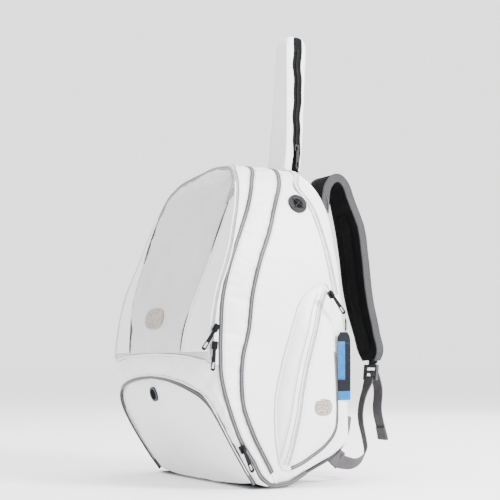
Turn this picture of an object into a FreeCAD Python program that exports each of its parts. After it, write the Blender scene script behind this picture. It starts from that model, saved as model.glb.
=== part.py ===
import FreeCAD, Part
import Sketcher
import math
import os

# Racket backpack.  Millimetres, +Z up, +X the wearer's right side of the bag as seen
# from behind the front panel, -Y the front, +Y the wearer's side.
# The origin is the middle of the flat patch the bag stands on.

V = FreeCAD.Vector
doc = FreeCAD.newDocument("RacketBackpack")

SIZES = [
    ("wall", 5.0), ("piping_rise", 3.5), ("piping_width", 6.0), ("tape_rise", 1.2), ("chain_radius", 1.2),
    ("form_length", 440.0), ("front_round", 9.0), ("rear_round", 30.0), ("lid_gap", 1.2),
    ("pocket_depth", 15.0), ("pocket_wall", 3.0), ("pocket_round", 7.0), ("shield_rise", 5.0),
    ("pad_width", 72.0), ("pad_height", 300.0), ("pad_thick", 14.0), ("pad_round", 6.0),
    ("strap_thick", 12.0), ("webbing_width", 25.0), ("webbing_thick", 1.8),
    ("sleeve_wall", 3.0), ("sleeve_round", 7.0), ("divider_thick", 6.0), ("board_thick", 3.0),
    ("vent_radius", 16.5), ("shoe_vent_radius", 12.0), ("slider_wide", 9.0), ("slider_long", 12.0),
    ("slider_high", 4.0), ("bridge_wide", 3.0), ("bridge_long", 6.0), ("bridge_high", 3.0),
    ("pull_wide", 7.0), ("pull_long", 34.0), ("pull_thick", 1.8), ("lock_wide", 36.0),
    ("lock_high", 26.0), ("lock_thick", 5.0), ("tag_wide", 42.0), ("tag_high", 108.0),
    ("tag_thick", 1.2), ("loop_wide", 18.0), ("loop_thick", 4.0),
]

sheet = doc.addObject("Spreadsheet::Sheet", "Sizes")
for row, (alias, value) in enumerate(SIZES, 1):
    sheet.set("A%d" % row, alias)
    sheet.set("B%d" % row, str(value))
    sheet.setAlias("B%d" % row, alias)
doc.recompute()


def size(alias):
    return float(sheet.get(alias))


WALL = size("wall")
PIPING = size("piping_rise")
TAPE = size("tape_rise")
GAP = size("lid_gap")

# Side outline of the bag, (y, z): up the front, over the top, and the low rear corner.
FRONT = [(-45, 0), (-75, 40), (-100, 78), (-116, 103), (-128, 130), (-136, 160), (-136, 187), (-132, 225),
         (-124, 280), (-107, 335), (-87, 392), (-68, 445), (-50, 487), (-28, 514), (8, 530), (50, 537),
         (90, 531), (118, 511), (133, 470)]
REAR_LOW = [(133, 105), (121, 62), (85, 24), (50, 0)]
# Front outline, (x, z): half the arch, from the base to the crown.
ARCH = [(166, 0), (173, 40), (178, 100), (176, 160), (172, 220), (169, 280), (165, 340), (156, 390),
        (147, 425), (134, 455), (116, 480), (84, 503), (45, 517), (0, 522)]
# Seams across the sides, (y, z): the front panel's zip, then the two piped seams.
ZIP_SEAM = [(-123, 190), (-118, 250), (-105, 310), (-84, 370), (-59, 440), (-41, 485), (-23, 505), (0, 519), (30, 540)]
SEAM_A = [(-20, -8), (-24, 8), (-54, 45), (-74, 72), (-95, 119), (-104, 148), (-109, 180), (-109, 205),
          (-107, 247), (-103, 289), (-91, 334), (-69, 384), (-46, 430), (-20, 480), (29, 522), (48, 545)]
SEAM_B = [(-8, -8), (-25, 34), (-54, 83), (-71, 124), (-74, 158), (-71, 195), (-59, 239), (-49, 300),
          (-35, 345), (-13, 392), (7, 439), (32, 482), (73, 521), (98, 545)]
# The racket compartment's zip runs close to the back.
SEAM_C = [(100, 300), (97, 324), (92, 361), (86, 407), (76, 447), (66, 474), (92, 518), (110, 545)]
# The shoe pocket's door, (x, z): half the dome.
DOME = [(150, 14), (154, 60), (156, 100), (151, 120), (140, 133), (121, 145), (93, 155), (47, 163), (0, 166)]
SHOE_TOP = 205.0

nodes = {}


def line(a, b):
    return Part.LineSegment(V(a[0], a[1], 0), V(b[0], b[1], 0))


def spline(points):
    curve = Part.BSplineCurve()
    curve.interpolate([V(p[0], p[1], 0) for p in points])
    return curve


TURN = {"YZ": FreeCAD.Rotation(V(0, 1, 0), V(0, 0, 1), V(1, 0, 0)),
        "XZ": FreeCAD.Rotation(V(1, 0, 0), V(0, 0, 1), V(0, -1, 0)),
        "XY": FreeCAD.Rotation()}


def outline(name, plane, runs, at=V(0, 0, 0)):
    # A closed outline from runs of points: two points make a line, more make a smooth curve.
    drawn = doc.addObject("Sketcher::SketchObject", name)
    drawn.Placement = FreeCAD.Placement(at, TURN[plane])
    for run in runs:
        drawn.addGeometry(line(*run) if len(run) == 2 else spline(run), False)
    return drawn


def closed(points):
    # Straight sides all the way round.
    return [[points[i], points[(i + 1) % len(points)]] for i in range(len(points))]


def prism(name, drawn, length="Sizes.form_length", both=True):
    solid = doc.addObject("Part::Extrusion", name)
    solid.Base = drawn
    solid.DirMode = "Normal"
    solid.Symmetric = both
    solid.Solid = True
    solid.setExpression("LengthFwd", length)
    return solid


def common(name, *parts):
    both = doc.addObject("Part::MultiCommon", name)
    both.Shapes = list(parts)
    return both


def cut(name, base, tool):
    less = doc.addObject("Part::Cut", name)
    less.Base = base
    less.Tool = tool
    return less


def node(name, obj):
    obj.Label = name
    nodes[name] = obj
    return obj


def grown(points, g, y_mid=-2.0, z_mid=261.0, y_half=135.0, z_half=266.0):
    return [(y_mid + (p[0] - y_mid) * (1 + g / y_half), z_mid + (p[1] - z_mid) * (1 + g / z_half))
            for p in points]


def mirrored(points):
    # A right-hand half outline that ends on the centre line, carried on over the left.
    return points + [(-p[0], p[1]) for p in points[-2::-1]]


def bag_form(name, g):
    # The bag's whole outside, grown by g, as side outline x front arch with rounded edges.
    front = grown(FRONT, g)
    rear = grown(REAR_LOW, g)
    arch = mirrored(grown(ARCH, g, 0.0, 261.0, 176.0, 261.0))
    side = outline(name + "Side", "YZ", [front, [front[-1], rear[0]], rear, [rear[-1], front[0]]])
    face = outline(name + "Arch", "XZ", [arch, [arch[-1], arch[0]]])
    block = common(name + "Block", prism(name + "SideForm", side), prism(name + "ArchForm", face))
    doc.recompute()
    rounded = doc.addObject("Part::Fillet", name)
    rounded.Base = block
    edges = []
    for number, edge in enumerate(block.Shape.Edges, 1):
        box = edge.BoundBox
        if box.XLength > 20 and box.ZLength > 20:
            radius = size("front_round") if box.Center.y < 0 else size("rear_round")
            edges.append((number, radius + g, radius + g))
    rounded.Edges = edges
    doc.recompute()
    return rounded


outer = bag_form("Outer", 0.0)
inner = bag_form("Inner", -WALL)
lining = bag_form("Lining", -WALL - 1.5)
raised = bag_form("Raised", PIPING)
taped = bag_form("Taped", TAPE)
shielded = bag_form("Shielded", size("shield_rise"))


def skin(name, big, small):
    # The space between two forms, one wholly inside the other.
    made = doc.addObject("Part::Feature", name)
    walls = Part.makeCompound([big.Shape.Shells[0], small.Shape.Shells[0].reversed()])
    made.Shape = Part.makeSolid(walls)
    return made


shell = skin("Shell", outer, inner)
shield_skin = skin("ShieldSkin", shielded, outer)


def shifted(points, step):
    return [(p[0] + step, p[1]) for p in points]


def between(name, seam_a, seam_b):
    # The slice of the bag between two seams that cross it side to side.
    runs = [seam_a, [seam_a[-1], seam_b[-1]], seam_b, [seam_b[0], seam_a[0]]]
    return prism(name, outline(name + "Outline", "YZ", runs))


def block(name, x0, x1, y0, y1, z0, z1):
    box = doc.addObject("Part::Box", name)
    box.Length = x1 - x0
    box.Width = y1 - y0
    box.Height = z1 - z0
    box.Placement = FreeCAD.Placement(V(x0, y0, z0), FreeCAD.Rotation())
    return box


above_base = block("AboveBase", -220, 220, -200, 200, WALL, 600)

# ---- bag shell -------------------------------------------------------------------------
node("base_panel", common("BasePanel", shell, block("BaseSlab", -220, 220, -200, 200, -5, WALL)))

behind_b = outline("BehindB", "YZ", [SEAM_B, [SEAM_B[-1], (121, 545)], [(121, 545), (121, -8)],
                                     [(121, -8), SEAM_B[0]]])
node("rear_shell", common("RearShell", shell, prism("RearZone", behind_b), above_base))
node("back_panel", common("BackPanel", shell, block("BackZone", -220, 220, 121, 150, 60, 525)))
node("middle_band", common("MiddleBand", shell, between("MiddleZone", SEAM_A, SEAM_B), above_base))
upper_zone = block("UpperZone", -220, 220, -200, 100, SHOE_TOP, 600)
node("front_gusset", common("FrontGusset", shell, between("GussetZone", ZIP_SEAM, SEAM_A), upper_zone))

ahead_a = prism("AheadA", outline("AheadAOutline", "YZ", [SEAM_A, [SEAM_A[-1], (-220, 545)],
                                                          [(-220, 545), (-220, -8)], [(-220, -8), SEAM_A[0]]]))
lower_zone = block("LowerZone", -220, 220, -200, 100, WALL, SHOE_TOP)
dome_hole = prism("DomeHole", outline("DomeOutline", "XZ", [mirrored(DOME), [(-150, 14), (150, 14)]],
                                      V(0, 0, 0)))
node("shoe_shell", cut("ShoeShell", common("ShoeZone", shell, ahead_a, lower_zone), dome_hole))

# ---- inner walls -----------------------------------------------------------------------
divider_zone = block("DividerZone", -220, 220, 60, 66, 30, 470)
divider_zone.setExpression("Width", "Sizes.divider_thick")
node("racket_divider", common("RacketDivider", lining, divider_zone))
liner_back = shifted(SEAM_A[1:8], 48.0)
liner_front = shifted(SEAM_A[1:8], 51.0)
liner_zone = outline("LinerOutline", "YZ", [liner_back, [liner_back[-1], (-220, 205)], [(-220, 205), (-220, 208)],
                                            [(-220, 208), (liner_front[-1][0], 208)],
                                            [(liner_front[-1][0], 208), liner_front[-1]], liner_front,
                                            [liner_front[0], liner_back[0]]])
liner_cut = block("LinerCut", -220, 220, -127.0, 100, 11.6, 210)
node("shoe_liner", common("ShoeLiner", lining, prism("LinerZone", liner_zone), liner_cut))
board_zone = block("BoardZone", -150, 150, -10, 44, 7.5, 11)
board_zone.setExpression("Height", "Sizes.board_thick")
node("base_board", common("BaseBoard", lining, board_zone))


# ---- piping and zip chains ---------------------------------------------------------------
FRONT_LINE = [(p.x, p.y) for p in spline(FRONT).toShape().discretize(300)]


def at_height(line_points, z):
    # The y of a side-view line where it passes the height z.
    for a, b in zip(line_points, line_points[1:]):
        if a[1] <= z <= b[1]:
            return a[0] + (b[0] - a[0]) * (z - a[1]) / (b[1] - a[1])
    return line_points[-1][0]


def tube(name, half_path, radius):
    # A round cord of piping or zip chain laid along a path and its mirror image.
    path = half_path + [V(-p.x, p.y, p.z) for p in half_path[-2::-1]]
    laid = Part.BSplineCurve()
    laid.interpolate(path)
    along = laid.tangent(laid.FirstParameter)[0]
    ring = Part.Wire([Part.Circle(path[0], along, radius).toShape()])
    sweep = Part.BRepOffsetAPI.MakePipeShell(Part.Wire([laid.toShape()]))
    sweep.add(ring)
    sweep.build()
    sweep.makeSolid()
    made = doc.addObject("Part::Feature", name)
    made.Shape = sweep.shape()
    return made


def round_the_bag(seam, low, lift):
    # Points up one side and over the crown, lifted off the bag by its own slope.
    path = []
    if low < ARCH[1][1]:
        start = [(167 + 0.15 * low, low)] + ARCH[1:]
    else:
        start = [p for p in ARCH if p[1] >= low]
    for i, p in enumerate(start):
        a = start[max(i - 1, 0)]
        b = start[min(i + 1, len(start) - 1)]
        slope = V(b[1] - a[1], 0, a[0] - b[0])
        if p[0] == 0:
            slope = V(0, 0, 1)
        slope.normalize()
        path.append(V(p[0], at_height(seam, p[1]), p[1]) + slope * lift)
    return path


def on_the_front(outline_points, lift):
    # Points on the curved front face, lifted forward off it.
    return [V(p[0], at_height(FRONT_LINE, p[1]) - lift, p[1]) for p in outline_points]


PIPE = size("piping_width") / 2 - 0.4
CHAIN = size("chain_radius")
node("seam_piping_front", tube("SeamPipingFront", round_the_bag(SEAM_A[1:], 10, PIPE + 1.0), PIPE))
node("seam_piping_rear", tube("SeamPipingRear", round_the_bag(SEAM_B, 10, PIPE + 1.0), PIPE))
node("front_zip_chain", tube("FrontZipChain", round_the_bag(ZIP_SEAM, 220, CHAIN + 0.8), CHAIN))
node("racket_zip_chain", tube("RacketZipChain", round_the_bag(shifted(SEAM_C, -4.0), 340, CHAIN + 0.8), CHAIN))
chain_dome = [(p[0] + 4.5 * (p[0] > 0), p[1] + 4.5 * (p[1] > 60)) for p in DOME[1:]]
node("shoe_zip_chain", tube("ShoeZipChain", on_the_front(chain_dome, CHAIN + 0.8), CHAIN))

# ---- front panel, opens forward about its lower edge -----------------------------------
lid_seam = shifted(ZIP_SEAM, -GAP)
lid_zone = prism("LidZone", outline("LidOutline", "YZ", [lid_seam, [lid_seam[-1], (-220, 540)],
                                                         [(-220, 540), (-220, 190)], [(-220, 190), lid_seam[0]]]))
lid_above = block("LidAbove", -220, 220, -220, 60, SHOE_TOP + GAP, 600)
node("front_panel", common("FrontPanel", shell, lid_zone, lid_above))
shield_side = [(94, 222), (97, 260), (104, 310), (114, 385), (116, 440)]
shield_top = [(116, 440), (90, 468), (48, 484), (0, 490), (-48, 484), (-90, 468), (-116, 440)]
shield_left = [(-p[0], p[1]) for p in shield_side[::-1]]
shield_zone = prism("ShieldZone", outline("ShieldOutline", "XZ", [shield_side, shield_top, shield_left,
                                                                  [(-94, 222), (94, 222)]]))
node("front_shield", common("FrontShield", shield_skin, shield_zone, lid_zone))
panel_edge = [(p[0] * 0.93 - 1.0 * (p[0] > 0), 215 + (p[1] - 215) * 0.95) for p in ARCH if p[1] > 215]
node("front_piping", tube("FrontPiping", on_the_front(panel_edge, PIPE + 1.2), PIPE - 0.6))

# ---- shoe door, opens forward about its lower edge ---------------------------------------
door_dome = [(p[0] - GAP * (p[0] > 0), p[1] - GAP * (p[1] > 15)) for p in DOME]
door_dome[0] = (door_dome[0][0], 14 + GAP)
door_zone = prism("DoorZone", outline("DoorOutline", "XZ", [mirrored(door_dome),
                                                            [(-door_dome[0][0], 14 + GAP),
                                                             (door_dome[0][0], 14 + GAP)]]))
door_front = block("DoorFront", -220, 220, -220, -40, 0, 200)
door = common("DoorBlank", shell, door_zone, door_front)


def on_surface(at, out, up):
    # Placement with local Z along out and local Y as near up as it can be.
    z_axis = V(*out).normalize()
    x_axis = V(*up).cross(z_axis).normalize()
    y_axis = z_axis.cross(x_axis)
    return FreeCAD.Placement(V(*at), FreeCAD.Rotation(x_axis, y_axis, z_axis))


DOOR_VENT = ((0, -132.5, 141), (0, -0.966, -0.258), (0, 0, 1))
vent_core = doc.addObject("Part::Cylinder", "DoorVentHole")
vent_core.setExpression("Radius", "Sizes.shoe_vent_radius - 3.5")
vent_core.Height = 30
vent_place = on_surface(*DOOR_VENT)
vent_core.Placement = FreeCAD.Placement(vent_place.Base - vent_place.Rotation.multVec(V(0, 0, 20)),
                                        vent_place.Rotation)
node("shoe_lid", cut("ShoeLid", door, vent_core))
rim = [(p[0] - 5.0 * (p[0] > 0), p[1] - 5.0 * (p[1] > 60)) for p in DOME[1:]]
node("shoe_piping", tube("ShoePiping", on_the_front(rim, PIPE + 1.0), PIPE))


# ---- bodies drawn on their own planes ------------------------------------------------------
def plane_of(body, role):
    for feature in body.Origin.OriginFeatures:
        if feature.Role == role:
            return feature
    raise ValueError(role)


def body_sketch(body, name, role="XY_Plane", shift=V(0, 0, 0)):
    drawn = body.newObject("Sketcher::SketchObject", name)
    drawn.AttachmentSupport = (plane_of(body, role), [""])
    drawn.MapMode = "FlatFace"
    drawn.AttachmentOffset = FreeCAD.Placement(shift, FreeCAD.Rotation())
    return drawn


def rectangle(drawn, wide, high, middle=(0.0, 0.0)):
    # A rectangle held by its corner, with its sides bound to the sizes named.
    w = float(size(wide))
    h = float(size(high))
    x0 = middle[0] - w / 2
    y0 = middle[1] - h / 2
    corners = [(x0, y0), (x0 + w, y0), (x0 + w, y0 + h), (x0, y0 + h)]
    for i in range(4):
        drawn.addGeometry(line(corners[i], corners[(i + 1) % 4]), False)
    for i in range(4):
        drawn.addConstraint(Sketcher.Constraint("Coincident", i, 2, (i + 1) % 4, 1))
    drawn.addConstraint(Sketcher.Constraint("Horizontal", 0))
    drawn.addConstraint(Sketcher.Constraint("Horizontal", 2))
    drawn.addConstraint(Sketcher.Constraint("Vertical", 1))
    drawn.addConstraint(Sketcher.Constraint("Vertical", 3))
    drawn.addConstraint(Sketcher.Constraint("DistanceX", 0, 1, 0, 2, w))
    drawn.setExpression("Constraints[8]", "Sizes." + wide)
    drawn.addConstraint(Sketcher.Constraint("DistanceY", 1, 1, 1, 2, h))
    drawn.setExpression("Constraints[9]", "Sizes." + high)
    drawn.addConstraint(Sketcher.Constraint("DistanceX", -1, 1, 0, 1, x0))
    drawn.setExpression("Constraints[10]", "%g - Sizes.%s / 2" % (middle[0], wide))
    drawn.addConstraint(Sketcher.Constraint("DistanceY", -1, 1, 0, 1, y0))
    drawn.setExpression("Constraints[11]", "%g - Sizes.%s / 2" % (middle[1], high))


def pad(body, name, drawn, length):
    made = body.newObject("PartDesign::Pad", name)
    made.Profile = drawn
    made.setExpression("Length", length)
    return made


def pocket(body, name, drawn, length):
    made = body.newObject("PartDesign::Pocket", name)
    made.Profile = drawn
    made.setExpression("Length", length)
    made.Reversed = True
    return made


def new_body(name):
    return doc.addObject("PartDesign::Body", name)


def soften(body, name, feature, wanted, radius):
    # Round the edges of a finished feature that the test picks.
    doc.recompute()
    names = ["Edge%d" % i for i, edge in enumerate(feature.Shape.Edges, 1) if wanted(edge)]
    made = body.newObject("PartDesign::Fillet", name)
    made.Base = (feature, names)
    made.setExpression("Radius", radius)
    return made


def disc(name, radius, thick, hole=None):
    body = new_body(name)
    drawn = body_sketch(body, name + "Round")
    drawn.addGeometry(Part.Circle(V(0, 0, 0), V(0, 0, 1), 10), False)
    drawn.addConstraint(Sketcher.Constraint("Coincident", 0, 3, -1, 1))
    drawn.addConstraint(Sketcher.Constraint("Radius", 0, 10))
    drawn.setExpression("Constraints[1]", radius)
    if hole:
        drawn.addGeometry(Part.Circle(V(0, 0, 0), V(0, 0, 1), 5), False)
        drawn.addConstraint(Sketcher.Constraint("Coincident", 1, 3, -1, 1))
        drawn.addConstraint(Sketcher.Constraint("Radius", 1, 5))
        drawn.setExpression("Constraints[3]", hole)
    pad(body, name + "Pad", drawn, thick)
    return body


shoe_ring = disc("ShoeVentRing", "Sizes.shoe_vent_radius", "3.2", "Sizes.shoe_vent_radius - 3.2")
shoe_ring.Placement = vent_place
node("shoe_eyelet", shoe_ring)
shoe_mesh = disc("ShoeVentMesh", "Sizes.shoe_vent_radius - 3.8", "1.6")
shoe_mesh.Placement = FreeCAD.Placement(vent_place.Base - vent_place.Rotation.multVec(V(0, 0, 2)),
                                        vent_place.Rotation)
node("shoe_vent_mesh", shoe_mesh)


def both_sides(name, right):
    # The right-hand piece and its mirror image as one node.
    left = doc.addObject("Part::Mirroring", name + "Mirror")
    left.Source = right
    left.Normal = V(1, 0, 0)
    pair = doc.addObject("Part::Compound", name)
    pair.Links = [right, left]
    return pair


def mirror_node(name, right):
    left = doc.addObject("Part::Mirroring", name.title().replace("_", ""))
    left.Source = right
    left.Normal = V(1, 0, 0)
    return node(name, left)


side_vent = disc("SideVent", "Sizes.vent_radius", "3.0")
side_vent.Placement = on_surface((139.5, 52, 446.5), (0.917, 0, 0.397), (0, 0, 1))
node("side_eyelets", both_sides("SideEyelets", side_vent))

# ---- back: pads and the strap roots ---------------------------------------------------------
back_pad = new_body("BackPad")
pad_drawn = body_sketch(back_pad, "BackPadOutline", "XZ_Plane")
rectangle(pad_drawn, "pad_width", "pad_height")
pad_made = pad(back_pad, "BackPadBlock", pad_drawn, "Sizes.pad_thick")
soften(back_pad, "BackPadRound", pad_made, lambda e: e.BoundBox.YLength < 0.1 and e.CenterOfMass.y < -1,
       "Sizes.pad_round")
back_pad.Placement = FreeCAD.Placement(V(62, 133.4, 250), FreeCAD.Rotation(V(0, 0, 1), 180))
node("back_pads", both_sides("BackPads", back_pad))


def offset_line(points, step):
    # The same run moved sideways by step, to the left of its direction.
    moved = []
    for i, p in enumerate(points):
        a = points[max(i - 1, 0)]
        b = points[min(i + 1, len(points) - 1)]
        length = math.hypot(b[0] - a[0], b[1] - a[1])
        moved.append((p[0] - (b[1] - a[1]) / length * step, p[1] + (b[0] - a[0]) / length * step))
    return moved


def ribbon(name, points, a, b):
    # A closed band in the side plane between two offsets of one run.
    left = offset_line(points, a)
    right = offset_line(points, b)
    return prism(name, outline(name + "Outline", "YZ", [left, [left[-1], right[-1]], right,
                                                        [right[0], left[0]]]))


half_strap = size("strap_thick") / 2
ROOT_RUN = [(139.6, 446), (140, 466), (143, 484), (149.5, 495.5)]
STRAP_RUN = [(156.5, 500.5), (166, 501), (177, 490), (187, 462), (197, 424), (203, 377), (206, 328),
             (211, 284), (217, 253), (223, 220), (226, 195)]
strap_outside = [(104, 530), (108, 460), (113, 380), (118, 300), (122, 240), (122, 205), (112, 193)]
strap_inside = [(42, 530), (43, 460), (48, 380), (56, 300), (67, 240), (74, 208), (84, 193)]
strap_plan = prism("StrapPlan", outline("StrapPlanOutline", "XZ", [
    strap_outside, [strap_outside[-1], strap_inside[-1]], strap_inside, [strap_inside[0], strap_outside[0]]]))
root_right = common("RootRight", ribbon("RootBand", ROOT_RUN, -half_strap, half_strap),
                    block("RootPlan", 42, 105, 100, 200, 440, 520))
yoke_bar = block("YokeBar", -105, 105, 133.4, 136.6, 404, 444)
yoke_parts = doc.addObject("Part::Compound", "StrapYoke")
yoke_parts.Links = [yoke_bar, both_sides("StrapRoots", root_right)]
node("strap_yoke", yoke_parts)
strap_pad = common("StrapPadRight", ribbon("StrapBand", STRAP_RUN, -half_strap, half_strap - 2.2), strap_plan)
node("strap_pad_right", strap_pad)
strap_mesh = common("StrapMeshRight", ribbon("StrapMeshBand", STRAP_RUN, half_strap - 2.0, half_strap),
                    strap_plan)
node("strap_mesh_right", strap_mesh)


def webbing(name, path, wide, thick, level=V(1, 0, 0)):
    # Flat webbing swept along a smooth path, its width kept level.
    spine_curve = Part.BSplineCurve()
    spine_curve.interpolate([V(*p) for p in path])
    spine = Part.Wire([spine_curve.toShape()])
    start = spine_curve.value(spine_curve.FirstParameter)
    along = spine_curve.tangent(spine_curve.FirstParameter)[0]
    side = level.cross(along).normalize()
    across = along.cross(side).normalize()
    corners = [start + across * (wide / 2 * i) + side * (thick / 2 * j)
               for i, j in ((-1, -1), (1, -1), (1, 1), (-1, 1))]
    profile = Part.makePolygon(corners + [corners[0]])
    sweep = Part.BRepOffsetAPI.MakePipeShell(spine)
    sweep.setBiNormalMode(level)
    sweep.add(profile)
    sweep.build()
    sweep.makeSolid()
    made = doc.addObject("Part::Feature", name)
    made.Shape = sweep.shape()
    return made


STRAND = [(99, 222, 158), (101, 206, 128), (106, 198, 98), (116, 199, 68), (130, 194, 42), (141, 165, 26),
          (147, 134, 30), (149.5, 122, 35)]
TAIL = [(99, 240, 158), (99.5, 243, 140), (100, 238, 112), (101, 244, 86), (102, 250, 66)]
strand = webbing("StrandRight", STRAND, size("webbing_width"), size("webbing_thick"))
tail = webbing("TailRight", TAIL, size("webbing_width"), size("webbing_thick"))
straps_right = doc.addObject("Part::Compound", "StrapWebbingRight")
straps_right.Links = [strand, tail]
node("strap_webbing_right", straps_right)

# A small stitched loop on the strap's outside.
loop_out = new_body("StrapLoopRight")
loop_drawn = body_sketch(loop_out, "StrapLoopOutline", "YZ_Plane", V(0, 0, -9))
loop_drawn.addGeometry(Part.Circle(V(0, 0, 0), V(0, 0, 1), 6.0), False)
loop_drawn.addGeometry(Part.Circle(V(0, 0, 0), V(0, 0, 1), 3.2), False)
pad(loop_out, "StrapLoopPad", loop_drawn, "Sizes.loop_wide")
loop_out.Placement = FreeCAD.Placement(V(92, 223.6, 285), FreeCAD.Rotation())
node("strap_loop_right", loop_out)
for kind in ("pad", "mesh", "webbing", "loop"):
    mirror_node("strap_%s_left" % kind, nodes["strap_%s_right" % kind])

# Ladder-lock: a frame with two slots, hung from the end of the strap.
lock = new_body("LadderlockRight")
lock_drawn = body_sketch(lock, "LockOutline", "XZ_Plane")
rectangle(lock_drawn, "lock_wide", "lock_high")
lock_made = pad(lock, "LockPlate", lock_drawn, "Sizes.lock_thick")
for number, level in enumerate((-6.5, 3.0)):
    slot = body_sketch(lock, "LockSlot%d" % number, "XZ_Plane")
    for side in closed([(-13.5, level), (13.5, level), (13.5, level + 5), (-13.5, level + 5)]):
        slot.addGeometry(line(*side), False)
    cut_slot = pocket(lock, "LockSlotCut%d" % number, slot, "Sizes.lock_thick + 2")
    cut_slot.Midplane = True
    cut_slot.setExpression("Length", "Sizes.lock_thick * 3")
lock.Placement = FreeCAD.Placement(V(99, 230.0, 174.5), FreeCAD.Rotation(V(1, 0, 0), -6))
node("ladderlock_right", lock)
mirror_node("ladderlock_left", lock)

# Sewn tabs that hold the webbing's lower ends.
tab = prism("WebbingTab", outline("WebbingTabOutline", "YZ", closed([(88, 66), (92, 36), (112, 34), (117, 41)]),
                                  V(138, 0, 0)), "24", False)
tab_cut = cut("WebbingTabCut", tab, taped)
node("webbing_anchors", both_sides("WebbingAnchors", tab_cut))

# ---- side pockets ----------------------------------------------------------------------------
POCKET = [(84, 322), (66, 314), (48, 300), (35, 282), (27, 262), (16, 232), (6, 205), (-5, 172), (-13, 143),
          (-16, 112), (-14, 82), (-8, 53), (3, 28)]
POCKET_LOW = [(3, 28), (30, 35), (51, 46), (73, 60), (90, 78), (96, 98)]


def pocket_form(name, depth, shrink, start=140.0):
    front = grown(POCKET, -shrink, 40, 175, 56, 147)
    low = grown(POCKET_LOW, -shrink, 40, 175, 56, 147)
    drawn = outline(name + "Outline", "YZ", [front, low, [low[-1], (low[-1][0], front[0][1] - 22)],
                                             [(low[-1][0], front[0][1] - 22), front[0]]], V(start, 0, 0))
    body = prism(name + "Form", drawn, depth, False)
    doc.recompute()
    rounded = doc.addObject("Part::Fillet", name)
    rounded.Base = body
    far = body.Shape.BoundBox.XMax
    radius = size("pocket_round") - shrink
    rounded.Edges = [(i, radius, radius) for i, edge in enumerate(body.Shape.Edges, 1)
                     if edge.BoundBox.XMin > far - 0.1]
    return rounded


pocket_out = pocket_form("PocketOut", "38 + Sizes.pocket_depth", 0.0)
pocket_in = pocket_form("PocketIn", "48 + Sizes.pocket_depth - Sizes.pocket_wall", size("pocket_wall"), 130.0)
pocket_hollow = cut("PocketHollow", pocket_out, pocket_in)
pocket_clear = cut("PocketClear", pocket_hollow, raised)
node("side_pocket_right", pocket_clear)
mirror_node("side_pocket_left", pocket_clear)
POCKET_ZIP = [(80, 300), (66, 272), (55, 240), (44, 210), (33, 178), (24, 145)]
chain_line = Part.BSplineCurve()
chain_line.interpolate([V(193 + CHAIN + 0.5, p[0], p[1]) for p in POCKET_ZIP])
chain_ring = Part.Circle(chain_line.value(0.0), chain_line.tangent(0.0)[0], CHAIN)
chain_sweep = Part.BRepOffsetAPI.MakePipeShell(Part.Wire([chain_line.toShape()]))
chain_sweep.add(Part.Wire([chain_ring.toShape()]))
chain_sweep.build()
chain_sweep.makeSolid()
chain_right = doc.addObject("Part::Feature", "PocketChainRight")
chain_right.Shape = chain_sweep.shape()
node("pocket_zip_chains", both_sides("PocketZipChains", chain_right))

# ---- handle sleeve, folds forward about the foot of its front face -----------------------------
SLEEVE_FOOT = 523.5


def sleeve_form(name, g):
    side = outline(name + "Side", "YZ", closed([(98 - g, 515), (134 + g, 515), (155 + g, 757 + g),
                                                (148 + g, 768 + g), (118 - g, 772 + g), (110 - g, 764 + g)]))
    face = outline(name + "Face", "XZ", closed([(-27 - g, 515), (27 + g, 515), (15 + g, 766 + g), (10 + g, 772 + g),
                                                (-10 - g, 772 + g), (-15 - g, 766 + g)]))
    body = common(name + "Form", prism(name + "SidePrism", side), prism(name + "FacePrism", face))
    doc.recompute()
    rounded = doc.addObject("Part::Fillet", name)
    rounded.Base = body
    rounded.Edges = [(i, size("sleeve_round") + g, size("sleeve_round") + g)
                     for i, edge in enumerate(body.Shape.Edges, 1) if edge.BoundBox.ZLength > 200]
    return rounded


sleeve_shell = cut("SleeveShell", sleeve_form("SleeveOut", 0.0), sleeve_form("SleeveIn", -size("sleeve_wall")))
sleeve_ahead = prism("SleeveAhead", outline("SleeveAheadOutline", "YZ", closed(
    [(60, SLEEVE_FOOT), (117, SLEEVE_FOOT), (132, 800), (60, 800)])))
sleeve_strip = prism("SleeveStrip", outline("SleeveStripOutline", "YZ", closed(
    [(117, SLEEVE_FOOT), (128, SLEEVE_FOOT), (145, 800), (132, 800)])))
sleeve_behind = prism("SleeveBehind", outline("SleeveBehindOutline", "YZ", closed(
    [(128, SLEEVE_FOOT), (220, SLEEVE_FOOT), (220, 800), (145, 800)])))
node("sleeve_front", common("SleeveFront", sleeve_shell, sleeve_ahead))
node("sleeve_zip_tape", common("SleeveZipTape", sleeve_shell, sleeve_strip))
node("sleeve_back", common("SleeveBack", sleeve_shell, sleeve_behind))
collar_form = cut("CollarForm", block("CollarOut", -29, 29, 95, 137, 484, 522.5),
                  block("CollarIn", -25, 25, 99, 130, 470, 540))
node("sleeve_collar", cut("SleeveCollar", collar_form, taped))

# ---- zip sliders and pulls -----------------------------------------------------------------------


def zip_slider(name, place):
    made = new_body(name.title().replace("_", ""))
    base = body_sketch(made, made.Name + "Base")
    rectangle(base, "slider_wide", "slider_long")
    made_base = pad(made, made.Name + "BasePad", base, "Sizes.slider_high")
    top = body_sketch(made, made.Name + "Bridge")
    rectangle(top, "bridge_wide", "bridge_long")
    made_top = pad(made, made.Name + "BridgePad", top, "Sizes.slider_high + Sizes.bridge_high")
    soften(made, made.Name + "Round", made_top,
           lambda e: e.BoundBox.ZLength > 3.9 and abs(e.CenterOfMass.x) > 4, "1.5")
    made.Placement = place
    return node(name, made)


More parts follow.
